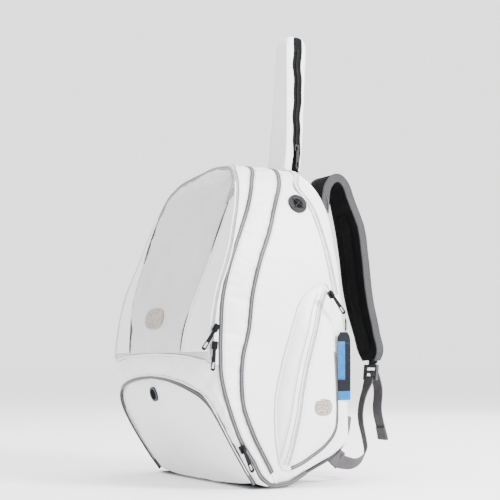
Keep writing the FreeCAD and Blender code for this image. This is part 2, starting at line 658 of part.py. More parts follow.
def zip_pull(name, place):
    # A flat pull with a long hole near its tip; it hangs from the slider's bridge.
    made = new_body(name.title().replace("_", ""))
    drawn = body_sketch(made, made.Name + "Outline", "XY_Plane", V(0, 0, 4.4))
    half_wide = size("pull_wide") / 2
    tip = -4.6 - size("pull_long")
    drawn.addGeometry(line((half_wide - 1.2, -4.0), (half_wide, tip + 3.5)), False)
    drawn.addGeometry(Part.Arc(V(half_wide, tip + 3.5, 0), V(0, tip, 0), V(-half_wide, tip + 3.5, 0)), False)
    drawn.addGeometry(line((-half_wide, tip + 3.5), (1.2 - half_wide, -4.0)), False)
    drawn.addGeometry(line((1.2 - half_wide, -4.0), (half_wide - 1.2, -4.0)), False)
    made_plate = pad(made, made.Name + "Plate", drawn, "Sizes.pull_thick")
    hole = body_sketch(made, made.Name + "Hole", "XY_Plane", V(0, 0, 4.4))
    for side in closed([(-1.6, tip + 4), (1.6, tip + 4), (1.6, tip + 13), (-1.6, tip + 13)]):
        hole.addGeometry(line(*side), False)
    hole_cut = pocket(made, made.Name + "HoleCut", hole, "10")
    hole_cut.Midplane = True
    made.Placement = place
    return node(name, made)


SLIDERS = {
    "front_upper": ((176.0, -118.0, 243), (0.92, -0.39, 0.0), (0, 0.55, 0.835)),
    "front_lower": ((176.6, -120.4, 217), (0.92, -0.39, 0.0), (0, 0.10, 1)),
    "shoe_upper": ((179.6, -75.0, 62), (0.995, 0.0, -0.06), (0, -0.45, 0.89)),
    "pocket_right": ((196.4, 76.0, 298), (1, 0, 0), (0, -0.62, 0.78)),
    "sleeve": ((25.6, 125.0, 564), (0.9985, 0, 0.049), (0, 0.06, 1)),
}
for name, (at, out, up) in SLIDERS.items():
    place = on_surface(at, out, up)
    zip_slider(name + "_slider", place)
    zip_pull(name + "_pull", place)
mirror_node("pocket_left_slider", nodes["pocket_right_slider"])
mirror_node("pocket_left_pull", nodes["pocket_right_pull"])

# ---- card tag behind the right-hand pocket ----------------------------------------------------------
tag = new_body("HangTag")
tag_drawn = body_sketch(tag, "HangTagOutline", "YZ_Plane")
rectangle(tag_drawn, "tag_wide", "tag_high")
tag_made = pad(tag, "HangTagCard", tag_drawn, "Sizes.tag_thick")
soften(tag, "HangTagCorners", tag_made, lambda e: e.BoundBox.XLength > 1 and e.CenterOfMass.z > 0, "12")
tag.Placement = FreeCAD.Placement(V(178.5, 121, 186), FreeCAD.Rotation())
node("hang_tag", tag)
tag_loop = block("TagLoop", 174.0, 180.5, 117, 121, 240.8, 262)
node("tag_loop", cut("TagLoopTrim", tag_loop, taped))

# ---- check and write ---------------------------------------------------------------------------------
doc.recompute()
os.makedirs("parts", exist_ok=True)
for obj in doc.Objects:
    if "Invalid" in obj.State or "Error" in obj.State:
        raise RuntimeError("not built: " + obj.Name)
for name, obj in nodes.items():
    shape = obj.Shape
    if shape.isNull() or not shape.isValid() or not shape.Solids:
        raise RuntimeError("bad shape: " + name)
    shape.exportStep("parts/%s.step" % name)
    box = shape.BoundBox
    print("%-22s solids %d  %8.1f cm3  x %4.0f..%4.0f  y %4.0f..%4.0f  z %4.0f..%4.0f" % (
        name, len(shape.Solids), shape.Volume / 1000, box.XMin, box.XMax, box.YMin, box.YMax, box.ZMin, box.ZMax))
print(len(nodes), "nodes")
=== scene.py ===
import bmesh
import bpy
import math
import random
import numpy as np
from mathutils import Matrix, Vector, noise
from mathutils.bvhtree import BVHTree


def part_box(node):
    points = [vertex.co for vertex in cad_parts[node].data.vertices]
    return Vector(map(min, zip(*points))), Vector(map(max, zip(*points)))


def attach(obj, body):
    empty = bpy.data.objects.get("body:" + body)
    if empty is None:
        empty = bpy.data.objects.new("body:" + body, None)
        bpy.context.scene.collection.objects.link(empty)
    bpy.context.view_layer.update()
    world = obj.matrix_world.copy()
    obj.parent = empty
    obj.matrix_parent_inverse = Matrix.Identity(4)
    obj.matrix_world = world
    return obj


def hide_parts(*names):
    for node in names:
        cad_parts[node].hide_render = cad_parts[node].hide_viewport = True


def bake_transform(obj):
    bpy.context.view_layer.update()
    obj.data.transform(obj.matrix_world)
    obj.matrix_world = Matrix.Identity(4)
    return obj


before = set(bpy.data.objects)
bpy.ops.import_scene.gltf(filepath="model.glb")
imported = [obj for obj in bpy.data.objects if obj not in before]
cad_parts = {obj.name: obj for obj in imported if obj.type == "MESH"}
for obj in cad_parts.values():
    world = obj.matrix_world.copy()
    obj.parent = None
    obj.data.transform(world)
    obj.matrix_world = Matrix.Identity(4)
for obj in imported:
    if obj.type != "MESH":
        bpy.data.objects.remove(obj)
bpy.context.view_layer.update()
random.seed(7)
MM = 0.001


# ------------------------------------------------------------------ materials
def new_material(name):
    mat = bpy.data.materials.new(name)
    mat.use_nodes = True
    nt = mat.node_tree
    return mat, nt, nt.nodes["Principled BSDF"]


def add_node(nt, kind, **values):
    n = nt.nodes.new(kind)
    for key, value in values.items():
        if key in n.inputs:
            n.inputs[key].default_value = value
        else:
            setattr(n, key, value)
    return n


def ramp(nt, source, stops):
    r = nt.nodes.new("ShaderNodeValToRGB")
    el = r.color_ramp.elements
    while len(el) > 1:
        el.remove(el[-1])
    el[0].position = stops[0][0]
    el[0].color = (*stops[0][1], 1)
    for pos, col in stops[1:]:
        e = el.new(pos)
        e.color = (*col, 1)
    nt.links.new(source, r.inputs["Fac"])
    return r.outputs["Color"]


def bump(nt, bsdf, height, strength, distance, below=None):
    b = add_node(nt, "ShaderNodeBump", Strength=strength, Distance=distance)
    nt.links.new(height, b.inputs["Height"])
    if below is not None:
        nt.links.new(below, b.inputs["Normal"])
    nt.links.new(b.outputs["Normal"], bsdf.inputs["Normal"])
    return b.outputs["Normal"]


def coords(nt, scale=(1, 1, 1), kind="Object"):
    tc = nt.nodes.new("ShaderNodeTexCoord")
    mp = nt.nodes.new("ShaderNodeMapping")
    mp.inputs["Scale"].default_value = scale
    nt.links.new(tc.outputs[kind], mp.inputs["Vector"])
    return mp.outputs["Vector"]


def texture(nt, kind, vec, **values):
    t = add_node(nt, kind, **values)
    nt.links.new(vec, t.inputs["Vector"])
    return t


def leatherette(name, light, dark, rough=0.42, grain=900.0, sheen=0.0):
    # Coated fabric: a fine pebbled grain, soft tonal clouds and slightly duller high spots.
    mat, nt, b = new_material(name)
    vec = coords(nt)
    cells = texture(nt, "ShaderNodeTexVoronoi", vec, Scale=grain)
    fine = texture(nt, "ShaderNodeTexNoise", vec, Scale=grain * 0.6, Detail=4.0)
    cloud = texture(nt, "ShaderNodeTexNoise", vec, Scale=9.0, Detail=5.0, Roughness=0.6)
    nt.links.new(ramp(nt, cloud.outputs["Fac"], [(0.30, dark), (0.70, light)]), b.inputs["Base Color"])
    rr = add_node(nt, "ShaderNodeMapRange")
    rr.inputs["To Min"].default_value = rough - 0.06
    rr.inputs["To Max"].default_value = rough + 0.10
    nt.links.new(fine.outputs["Fac"], rr.inputs["Value"])
    nt.links.new(rr.outputs["Result"], b.inputs["Roughness"])
    first = bump(nt, b, cells.outputs["Distance"], 0.10, 0.0004)
    bump(nt, b, cloud.outputs["Fac"], 0.30, 0.005, first)
    b.inputs["Specular IOR Level"].default_value = 0.45
    b.inputs["Coat Weight"].default_value = 0.08
    b.inputs["Coat Roughness"].default_value = 0.35
    b.inputs["Sheen Weight"].default_value = sheen
    return mat


def woven(name, light, dark, pitch=0.0011, rough=0.8, strength=0.5, kind="UV", sheen=0.15):
    # Plain weave from two crossed sets of threads, with colour drift from yarn to yarn.
    mat, nt, b = new_material(name)
    vec = coords(nt, kind=kind)
    scale = 2 * math.pi / pitch / 20.0
    warp = texture(nt, "ShaderNodeTexWave", vec, Scale=scale, Distortion=0.6)
    weft = texture(nt, "ShaderNodeTexWave", vec, Scale=scale, Distortion=0.6)
    warp.bands_direction = "X"
    weft.bands_direction = "Y"
    mx = add_node(nt, "ShaderNodeMath", operation="MULTIPLY")
    nt.links.new(warp.outputs["Fac"], mx.inputs[0])
    nt.links.new(weft.outputs["Fac"], mx.inputs[1])
    drift = texture(nt, "ShaderNodeTexNoise", vec, Scale=60.0, Detail=3.0)
    mix = add_node(nt, "ShaderNodeMath", operation="MULTIPLY_ADD")
    mix.inputs[1].default_value = 0.7
    nt.links.new(mx.outputs[0], mix.inputs[0])
    half = add_node(nt, "ShaderNodeMath", operation="MULTIPLY")
    half.inputs[1].default_value = 0.35
    nt.links.new(drift.outputs["Fac"], half.inputs[0])
    nt.links.new(half.outputs[0], mix.inputs[2])
    nt.links.new(ramp(nt, mix.outputs[0], [(0.05, dark), (0.75, light)]), b.inputs["Base Color"])
    bump(nt, b, mx.outputs[0], strength, pitch * 0.4)
    b.inputs["Roughness"].default_value = rough
    b.inputs["Specular IOR Level"].default_value = 0.12
    b.inputs["Sheen Weight"].default_value = sheen
    return mat


def spacer_mesh(name, light, dark, cell=0.0026, kind="UV"):
    # Air mesh: a honeycomb of small holes over a darker layer.
    mat, nt, b = new_material(name)
    vec = coords(nt, kind=kind)
    cells = texture(nt, "ShaderNodeTexVoronoi", vec, Scale=1.0 / cell, Randomness=0.12)
    holes = ramp(nt, cells.outputs["Distance"], [(0.20, (0, 0, 0)), (0.42, (1, 1, 1))])
    nt.links.new(ramp(nt, cells.outputs["Distance"], [(0.22, dark), (0.50, light)]), b.inputs["Base Color"])
    bump(nt, b, holes, 0.7, 0.0009)
    b.inputs["Roughness"].default_value = 0.9
    b.inputs["Specular IOR Level"].default_value = 0.08
    b.inputs["Sheen Weight"].default_value = 0.003
    return mat


def moulded(name, color, rough=0.38, metal=0.0, grain=1500.0, depth=0.00008):
    mat, nt, b = new_material(name)
    vec = coords(nt)
    fine = texture(nt, "ShaderNodeTexNoise", vec, Scale=grain, Detail=3.0)
    wear = texture(nt, "ShaderNodeTexNoise", vec, Scale=120.0, Detail=6.0, Roughness=0.7)
    lift = tuple(min(1.0, c * 1.5 + 0.002) for c in color)
    nt.links.new(ramp(nt, wear.outputs["Fac"], [(0.45, color), (0.72, lift)]), b.inputs["Base Color"])
    rr = add_node(nt, "ShaderNodeMapRange")
    rr.inputs["To Min"].default_value = rough - 0.08
    rr.inputs["To Max"].default_value = rough + 0.12
    nt.links.new(wear.outputs["Fac"], rr.inputs["Value"])
    nt.links.new(rr.outputs["Result"], b.inputs["Roughness"])
    bump(nt, b, fine.outputs["Fac"], 0.25, depth)
    b.inputs["Metallic"].default_value = metal
    b.inputs["Specular IOR Level"].default_value = 0.16
    return mat


def glitter(name):
    mat, nt, b = new_material(name)
    vec = coords(nt)
    flakes = texture(nt, "ShaderNodeTexVoronoi", vec, Scale=1100.0)
    nt.links.new(ramp(nt, flakes.outputs["Color"], [(0.15, (0.13, 0.11, 0.085)), (0.5, (0.27, 0.24, 0.20)),
                                                    (0.85, (0.55, 0.51, 0.45))]), b.inputs["Base Color"])
    bump(nt, b, flakes.outputs["Color"], 0.6, 0.0004)
    b.inputs["Roughness"].default_value = 0.32
    b.inputs["Metallic"].default_value = 0.45
    return mat


M = {
    "pearl": leatherette("pearl_leatherette", (0.79, 0.79, 0.795), (0.72, 0.72, 0.73)),
    "silver": leatherette("silver_leatherette", (0.56, 0.557, 0.555), (0.46, 0.46, 0.465), 0.34),
    "piping": leatherette("piping_leatherette", (0.040, 0.040, 0.044), (0.022, 0.022, 0.025), 0.38, 1400.0),
    "piping_light": leatherette("light_piping", (0.25, 0.25, 0.265), (0.17, 0.17, 0.18), 0.40, 1400.0),
    "base": woven("base_weave", (0.010, 0.010, 0.011), (0.003, 0.003, 0.0035), 0.0016, 0.8, 0.6, "Object",
                  sheen=0.01),
    "lining": woven("lining_weave", (0.26, 0.26, 0.275), (0.19, 0.19, 0.205), 0.0022, 0.75, 0.2, "Object",
                    sheen=0.05),
    "tape": woven("zip_tape_weave", (0.62, 0.62, 0.64), (0.40, 0.40, 0.42), 0.0009, 0.8, 0.4),
    "coil": moulded("zip_coil", (0.52, 0.52, 0.54), 0.45),
    "black_coil": moulded("black_coil", (0.006, 0.006, 0.007), 0.45),
    "mesh": spacer_mesh("black_air_mesh", (0.0050, 0.0052, 0.0062), (0.0008, 0.0008, 0.001)),
    "black": woven("black_weave", (0.0065, 0.0068, 0.0078), (0.0014, 0.0014, 0.0017), 0.0013, 0.85, 0.6,
                   sheen=0.01),
    "binding": woven("grey_binding", (0.062, 0.062, 0.065), (0.032, 0.032, 0.034), 0.0011, 0.75, 0.5,
                     sheen=0.02),
    "webbing": woven("grey_webbing", (0.125, 0.118, 0.125), (0.062, 0.058, 0.063), 0.0019, 0.8, 0.8,
                     sheen=0.02),
    "plastic": moulded("black_acetal", (0.006, 0.006, 0.007), 0.40),
    "grey_plastic": moulded("grey_acetal", (0.045, 0.045, 0.047), 0.42),
    "zinc": moulded("black_zinc", (0.004, 0.004, 0.005), 0.34, 0.2),
    "eyelet": moulded("eyelet_paint", (0.022, 0.024, 0.028), 0.34, 0.3),
    "thread": woven("thread", (0.84, 0.84, 0.85), (0.66, 0.66, 0.68), 0.0004, 0.7, 0.4, "Object"),
    "glitter": glitter("glitter_patch"),
    "card": moulded("tag_card_blue", (0.004, 0.085, 0.24), 0.55),
    "card_dark": moulded("tag_card_navy", (0.0008, 0.0014, 0.005), 0.55),
    "shadow": leatherette("slit_shadow", (0.012, 0.012, 0.013), (0.006, 0.006, 0.007), 0.8, 1400.0),
}


# ------------------------------------------------------------------ curves
SIDES = ((1, "right"), (-1, "left"))


def arc_length(p):
    return np.concatenate([[0], np.cumsum(np.linalg.norm(np.diff(p, axis=0), axis=1))])


def read_at(at, run, p):
    # Points of a line read at the given distances along it.
    q = np.array(p)
    return np.stack([np.interp(at, run, q[:, k]) for k in range(3)], axis=1)


def smooth_line(points, count=None, step=None):
    # Catmull-Rom through the points, evenly spaced by length.
    p = np.array(points, dtype=float)
    ends = np.vstack([2 * p[0] - p[1], p, 2 * p[-1] - p[-2]])
    out = []
    for i in range(1, len(ends) - 2):
        a, b, c, d = ends[i - 1:i + 3]
        for k in range(16):
            t = k / 16
            out.append(0.5 * (2 * b + (c - a) * t + (2 * a - 5 * b + 4 * c - d) * t * t
                              + (3 * b - a - 3 * c + d) * t ** 3))
    out.append(p[-1])
    dense = np.array(out)
    run = arc_length(dense)
    if count is None:
        count = max(2, int(round(run[-1] / step)) + 1)
    at = np.linspace(0, run[-1], count)
    return np.stack([np.interp(at, run, dense[:, k]) for k in range(p.shape[1])], axis=1)


def table(pairs):
    # Smooth function through (x, y) pairs in rising x.
    xs = np.array([p[0] for p in pairs], dtype=float)
    ys = np.array([p[1] for p in pairs], dtype=float)
    m = np.gradient(ys, xs)

    def read(x):
        x = np.clip(x, xs[0], xs[-1])
        i = np.clip(np.searchsorted(xs, x) - 1, 0, len(xs) - 2)
        h = xs[i + 1] - xs[i]
        t = (x - xs[i]) / h
        return ((2 * t ** 3 - 3 * t ** 2 + 1) * ys[i] + (t ** 3 - 2 * t ** 2 + t) * h * m[i]
                + (-2 * t ** 3 + 3 * t ** 2) * ys[i + 1] + (t ** 3 - t ** 2) * h * m[i + 1])
    return read


ARCH = smooth_line([(166, 0), (170, 20), (173, 40), (177, 80), (178, 110), (176, 160), (172, 220), (169, 280),
                    (165, 340), (156, 390), (147, 425), (134, 455), (116, 480), (84, 503), (45, 517),
                    (0, 522)], 601)
ARCH_U = np.linspace(0, 1, 601)
tangent = np.gradient(ARCH, axis=0)
ARCH_N = np.stack([tangent[:, 1], -tangent[:, 0]], axis=1)
ARCH_N /= np.linalg.norm(ARCH_N, axis=1)[:, None]
ARCH_N[-1] = (0, 1)


def arch(u):
    return np.interp(u, ARCH_U, ARCH[:, 0]), np.interp(u, ARCH_U, ARCH[:, 1])


def arch_normal(u):
    nx = np.interp(u, ARCH_U, ARCH_N[:, 0])
    nz = np.interp(u, ARCH_U, ARCH_N[:, 1])
    return nx, nz


def u_at(z):
    return float(np.interp(z, ARCH[:, 1], ARCH_U))


def seam(pairs, apex):
    # A seam's y as a function of the arch parameter, from (height, y) pairs and its y at the crown.
    return table([(u_at(z), y) for z, y in pairs] + [(1.0, apex)])


ZIP = seam([(190, -124), (220, -123), (250, -120), (280, -115), (310, -107), (340, -95), (370, -84),
            (400, -75),
            (440, -62), (480, -47), (500, -36), (514, -18)], 4)
SEAM_A = seam([(1, -9), (8, -22), (45, -54), (72, -74), (119, -95), (148, -104), (174, -109), (200, -109),
               (247, -107), (289, -103), (334, -91), (384, -69), (430, -46), (480, -20), (508, 6)], 29)
SEAM_B = seam([(1, -3), (27, -19), (83, -54), (124, -71), (158, -74), (195, -71), (239, -59), (300, -49),
               (345, -35), (392, -13), (439, 7), (480, 32), (508, 54)], 73)
ROUND = table([(0.0, 22), (u_at(180), 22), (u_at(300), 32), (u_at(400), 44), (u_at(460), 52), (1.0, 44)])
BACK = 133.0


def low_edge(y):
    # Height of the bag's lower edge at the side, which rises towards the back.
    return float(np.interp(y, [-9, 15, 46, 68, 99, 127, 140], [1, 3, 20, 29, 43, 64, 80]))


def skin_point(u, y, out=0.0):
    w, z = arch(u)
    nx, nz = arch_normal(u)
    r = ROUND(u)
    turn = np.clip((y - (BACK - r)) / r, 0, 1)
    inward = r * 0.95 * (1 - np.sqrt(np.maximum(0, 1 - turn ** 2)))
    return np.array([w + nx * (out - inward), y, z + nz * (out - inward)])


# ------------------------------------------------------------------ mesh makers
made = []


def finish_piece(ob, body, mat, nodes=()):
    ob.data.materials.append(M[mat])
    for poly in ob.data.polygons:
        poly.use_smooth = True
    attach(ob, body)
    if nodes:
        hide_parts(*nodes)
    made.append(ob)
    return ob


def mesh_object(name, verts, faces, uvs=None):
    me = bpy.data.meshes.new(name)
    me.from_pydata([tuple(v) for v in verts], [], faces)
    if uvs is not None:
        layer = me.uv_layers.new(name="UVMap")
        for poly in me.polygons:
            for li, vi in zip(poly.loop_indices, poly.vertices):
                layer.data[li].uv = uvs[vi]
    me.validate()
    me.update()
    ob = bpy.data.objects.new(name, me)
    bpy.context.scene.collection.objects.link(ob)
    return ob


def grid_object(name, grid, wrap_u=False, wrap_v=False, flip=False):
    # grid[i, j] in millimetres; UVs run in metres of surface.
    g = np.array(grid) * MM
    nu, nv = g.shape[:2]
    du = np.linalg.norm(np.diff(g, axis=0), axis=2).mean(axis=1)
    dv = np.linalg.norm(np.diff(g, axis=1), axis=2).mean(axis=0)
    us = np.concatenate([[0], np.cumsum(du)])
    vs = np.concatenate([[0], np.cumsum(dv)])
    verts = g.reshape(-1, 3)
    uvs = [(us[i], vs[j]) for i in range(nu) for j in range(nv)]
    faces = []
    for i in range(nu if wrap_u else nu - 1):
        for j in range(nv if wrap_v else nv - 1):
            a = i * nv + j
            b = ((i + 1) % nu) * nv + j
            c = ((i + 1) % nu) * nv + (j + 1) % nv
            d = i * nv + (j + 1) % nv
            faces.append((a, d, c, b) if flip else (a, b, c, d))
    return mesh_object(name, verts, faces, uvs)


def both(grid):
    # Right half from the base to the crown, carried on down the left side.
    left = np.array(grid)[-2::-1].copy()
    left[..., 0] *= -1
    return np.concatenate([np.array(grid), left], axis=0)


def roughen(grid, amount, size, seed):
    # Small soft unevenness of filled cloth.
    g = np.array(grid)
    nrm = grid_normals(g)
    for i in range(g.shape[0]):
        for j in range(g.shape[1]):
            p = g[i, j] / size
            g[i, j] += nrm[i, j] * amount * noise.noise(Vector((p[0] + seed, p[1], p[2])))
    return g


def grid_normals(g):
    a = np.gradient(g, axis=0)
    b = np.gradient(g, axis=1)
    n = np.cross(a, b)
    length = np.linalg.norm(n, axis=2)[..., None]
    length[length < 1e-9] = 1
    return n / length


def frames_along(path, up=None, closed=False):
    p = np.array(path, dtype=float)
    t = np.gradient(p, axis=0)
    if closed:
        t = np.roll(p, -1, axis=0) - np.roll(p, 1, axis=0)
    t /= np.maximum(np.linalg.norm(t, axis=1), 1e-9)[:, None]
    normals = []
    n = None
    for i in range(len(p)):
        if up is not None:
            u = np.array(up[i] if np.ndim(up) == 2 else up, dtype=float)
            n = u - t[i] * np.dot(u, t[i])
        elif n is None:
            u = np.array((0.0, 0.0, 1.0)) if abs(t[i][2]) < 0.9 else np.array((1.0, 0.0, 0.0))
            n = u - t[i] * np.dot(u, t[i])
        else:
            n = n - t[i] * np.dot(n, t[i])
        n = n / max(np.linalg.norm(n), 1e-9)
        normals.append(n)
    normals = np.array(normals)
    return p, t, normals, np.cross(t, normals)


def swept(name, path, section, up=None, closed=False, caps=True):
    # Sweep a closed section of (across, out) points in millimetres along a path.
    p, t, n, s = frames_along(path, up, closed)
    sec = np.array(section, dtype=float)
    grid = p[:, None, :] + s[:, None, :] * sec[None, :, 0:1] + n[:, None, :] * sec[None, :, 1:2]
    ob = grid_object(name, grid, wrap_u=closed, wrap_v=True, flip=False)
    if caps and not closed:
        bm = bmesh.new()
        bm.from_mesh(ob.data)
        bm.verts.ensure_lookup_table()
        k = len(sec)
        bm.faces.new([bm.verts[j] for j in range(k)])
        bm.faces.new([bm.verts[len(bm.verts) - 1 - j] for j in range(k)])
        bmesh.ops.recalc_face_normals(bm, faces=bm.faces)
        bm.to_mesh(ob.data)
        bm.free()
    return ob


def circle(radius, count=12):
    return [(radius * math.cos(2 * math.pi * k / count), radius * math.sin(2 * math.pi * k / count))
            for k in range(count)]


def flat_section(width, thick, count=5, edge=0.5):
    # A flat strap's section with softly rounded edges.
    w, h = width / 2, thick / 2
    top = [(-w + (2 * w) * k / (count - 1), h) for k in range(count)]
    low = [(w - (2 * w) * k / (count - 1), -h) for k in range(count)]
    top[0], top[-1] = (-w + edge, h), (w - edge, h)
    low[0], low[-1] = (w - edge, -h), (-w + edge, -h)
    return top + [(w, 0)] + low + [(-w, 0)]


def along(path, spacing, start=0.0, end=None):
    p = np.array(path, dtype=float)
    run = arc_length(p)
    end = run[-1] if end is None else end
    count = max(1, int((end - start) / spacing))
    at = start + (np.arange(count) + 0.5) * spacing
    return read_at(at, run, p), at


def repeated(name, path, up, spacing, shape_verts, shape_faces, scale=(1, 1, 1), shift=(0, 0)):
    # Copies of one small shape laid along a path: stitches or zip teeth, as one mesh.
    p, t, n, s = frames_along(path, up)
    run = arc_length(p)
    pts, at = along(p, spacing)
    verts = []
    faces = []
    sv = np.array(shape_verts, dtype=float) * np.array(scale)
    for q, d in zip(pts, at):
        tt = np.array([np.interp(d, run, t[:, k]) for k in range(3)])
        nn = np.array([np.interp(d, run, n[:, k]) for k in range(3)])
        tt /= np.linalg.norm(tt)
        nn = nn - tt * np.dot(nn, tt)
        nn /= max(np.linalg.norm(nn), 1e-9)
        ss = np.cross(tt, nn)
        base = len(verts)
        for v in sv:
            verts.append((q + tt * v[0] + ss * (v[1] + shift[0]) + nn * (v[2] + shift[1])) * MM)
        faces += [tuple(base + k for k in f) for f in shape_faces]
    return mesh_object(name, verts, faces)


def capsule(long, radius, sides=6):
    # A stitch: a short thread that dips into the cloth at both ends.
    verts = []
    faces = []
    for k, (x, r, drop) in enumerate([(-0.5, 0.35, -0.9), (-0.36, 0.9, -0.15), (0, 1.0, 0.25), (0.36, 0.9,
                                                                                                -0.15),
                                      (0.5, 0.35, -0.9)]):
        for j in range(sides):
            a = 2 * math.pi * j / sides
            verts.append((x * long, math.cos(a) * r * radius, (math.sin(a) * r + drop) * radius))
    for k in range(4):
        for j in range(sides):
            a = k * sides + j
            b = k * sides + (j + 1) % sides
            faces.append((a, b, b + sides, a + sides))
    faces.append(tuple(range(sides))[::-1])
    faces.append(tuple(4 * sides + j for j in range(sides)))
    return verts, faces


def tooth(sides=8):
    # One turn of a zip coil: a short bar across the chain with rounded ends.
    verts = []
    faces = []
    for y, r in [(-1.0, 0.25), (-0.85, 0.8), (-0.3, 1.0), (0.3, 1.0), (0.85, 0.8), (1.0, 0.25)]:
        for j in range(sides):
            a = 2 * math.pi * j / sides
            verts.append((math.cos(a) * r * 0.42, y, math.sin(a) * r * 0.5))
    for k in range(5):
        for j in range(sides):
            a = k * sides + j
            b = k * sides + (j + 1) % sides
            faces.append((a, b, b + sides, a + sides))
    faces.append(tuple(range(sides))[::-1])
    faces.append(tuple(5 * sides + j for j in range(sides)))
    return verts, faces


STITCH = capsule(3.2, 0.42)
TOOTH = tooth()


def stitches(name, path, up, body, spacing=4.2, mat="thread", shift=(0, 0)):
    ob = repeated(name, path, up, spacing, STITCH[0], STITCH[1], shift=shift)
    return finish_piece(ob, body, mat)


def smoothed(ob):
    mod = ob.modifiers.new("Smooth", "SUBSURF")
    mod.levels = mod.render_levels = 1


def settle(ob, pins, pressure=4.0, grow=0.012, cap=2.5):
    # Lets the cloth take up its slack between fixed seams, then keeps that shape.
    smoothed(ob)
    me = ob.data
    rest = np.empty(len(me.vertices) * 3)
    me.vertices.foreach_get("co", rest)
    group = ob.vertex_groups.new(name="pins")
    group.add([int(k) for k in pins], 1.0, "REPLACE")
    cloth = ob.modifiers.new("Cloth", "CLOTH")
    ob.modifiers.move(len(ob.modifiers) - 1, 0)
    s = cloth.settings
    s.vertex_group_mass = "pins"
    s.use_pressure = True
    s.uniform_pressure_force = pressure
    s.shrink_min = -grow
    s.effector_weights.gravity = 0.0
    s.quality = 5
    s.mass = 0.25
    s.tension_stiffness = 12
    s.compression_stiffness = 8
    s.shear_stiffness = 6
    s.bending_stiffness = 0.4
    cloth.collision_settings.use_collision = False
    scene = bpy.context.scene
    for frame_number in range(1, 21):
        scene.frame_set(frame_number)
    dg = bpy.context.evaluated_depsgraph_get()
    others = [m for m in ob.modifiers if m.type != "CLOTH" and m.show_viewport]
    for m in others:
        m.show_viewport = False
    dg.update()
    out = ob.evaluated_get(dg).to_mesh()
    now = np.empty(len(out.vertices) * 3)
    out.vertices.foreach_get("co", now)
    ob.evaluated_get(dg).to_mesh_clear()
    for m in others:
        m.show_viewport = True
    ob.modifiers.remove(cloth)
    move = (now - rest).reshape(-1, 3)
    length = np.linalg.norm(move, axis=1)[:, None]
    move *= np.minimum(1, cap * MM / np.maximum(length, 1e-9))
    if np.isfinite(move).all():
        me.vertices.foreach_set("co", (rest.reshape(-1, 3) + move).ravel())
        me.update()
    scene.frame_set(1)


def rim(nu, nv):
    keep = []
    for i in range(nu):
        for j in range(nv):
            if i in (0, nu - 1) or j in (0, nv - 1):
                keep.append(i * nv + j)
    return keep


def lined(ob, thick=1.4, inner="lining"):
    # Gives a panel its thickness, with lining cloth on the inside.
    ob.data.materials.append(M[inner])
    mod = ob.modifiers.new("Thick", "SOLIDIFY")
    mod.thickness = thick * MM
    mod.offset = -1.0
    mod.material_offset = 1


def pucker(g, amount, spacing, reach, seed=0.0):
    # Small gathers along the seams at both sides of a panel (axis 1), fading inwards.
    g = np.array(g)
    nrm = grid_normals(g)
    run = arc_length(g[:, 0])
    width = np.concatenate([np.zeros((g.shape[0], 1)),
                            np.cumsum(np.linalg.norm(np.diff(g, axis=1), axis=2), axis=1)], axis=1)
    for i in range(g.shape[0]):
        wave = noise.noise(Vector((run[i] / spacing, seed, 0.3)))
        other = noise.noise(Vector((run[i] / spacing, seed + 7.7, 0.9)))
        for j in range(g.shape[1]):
            a = width[i, j]
            b = width[i, -1] - a
            fa = (a / reach) * math.exp(1 - a / reach) if a > 0 else 0
            fb = (b / reach) * math.exp(1 - b / reach) if b > 0 else 0
            g[i, j] += nrm[i, j] * amount * (wave * fa + other * fb)
    return g


# ------------------------------------------------------------------ body panels
FRONT_LINE = table([(0, -45), (40, -75), (78, -100), (103, -115), (130, -127), (160, -135), (187, -136),
                    (225, -132),
                    (280, -124), (335, -107), (392, -87), (445, -68), (487, -50), (514, -27), (521, -8)])
NU = 150
NV = 26


def side_patch(front, back, u_low=0.0, count=NV, puff=2.0, nu=NU, low=None, inset=0.0):
    # A panel wrapped round the arch between two seams, right half then mirrored.
    g = np.zeros((nu, count, 3))
    for i in range(nu):
        t = i / (nu - 1)
        for j in range(count):
            f = j / (count - 1)
            f = 0.5 - 0.5 * math.cos(math.pi * f) if low is None else f
            u = u_low + (1 - u_low) * t
            y = front(u) * (1 - f) + back(u) * f
            if low is not None:
                u0 = u_at(low(y))
                u = u0 + (1 - u0) * t
                y = front(u) * (1 - f) + back(u) * f
            d = np.clip((arch(u)[1] - (low(y) if low is not None else 0)) / 14, 0, 1)
            tuck = 9 * (1 - math.sqrt(max(0.0, 1 - (1 - d) ** 2)))
            swell = puff * (1 - abs(2 * f - 1) ** 2.4)
            g[i, j] = skin_point(u, y, swell - tuck - inset)
    return g


def panel(name, grid, body, mat, nodes, pressure=None, seed=1.0, thick=1.4, rough=0.5, cap=2.0, flip=False,
          gather=0.7,
          grow=0.012):
    g = roughen(grid, rough, 38.0, seed)
    if gather:
        g = pucker(g, gather, 11.0, 7.0, seed)
    ob = grid_object(name, g, flip=flip)
    finish_piece(ob, body, mat, nodes)
    lined(ob, thick)
    if pressure is None:
        smoothed(ob)
    else:
        settle(ob, rim(g.shape[0], g.shape[1]), pressure, grow, cap)
    return ob


U_ARC = u_at(187)


def const(value):
    return lambda u: value


panel("gusset_front", both(side_patch(lambda u: ZIP(u) + 2.5, lambda u: SEAM_A(u) - 1.0, U_ARC, 8, 1.6)),
      "bag", "pearl",
      ["front_gusset"], seed=3.1, gather=0.5, flip=True)
panel("band_middle", both(side_patch(lambda u: SEAM_A(u) + 1.0, lambda u: SEAM_B(u) - 1.0, 0.0, 14, 2.2)),
      "bag", "pearl",
      ["middle_band"], 2.0, seed=5.3, cap=1.5, flip=True)


def rear_front(u):
    return SEAM_B(u) + 1.0


panel("side_rear", both(side_patch(rear_front, const(132.5), 0.0, 44, 1.2, low=low_edge, inset=0.6)), "bag",
      "pearl",
      ["rear_shell"], 1.0, seed=8.9, cap=0.9, rough=0.9, flip=True)


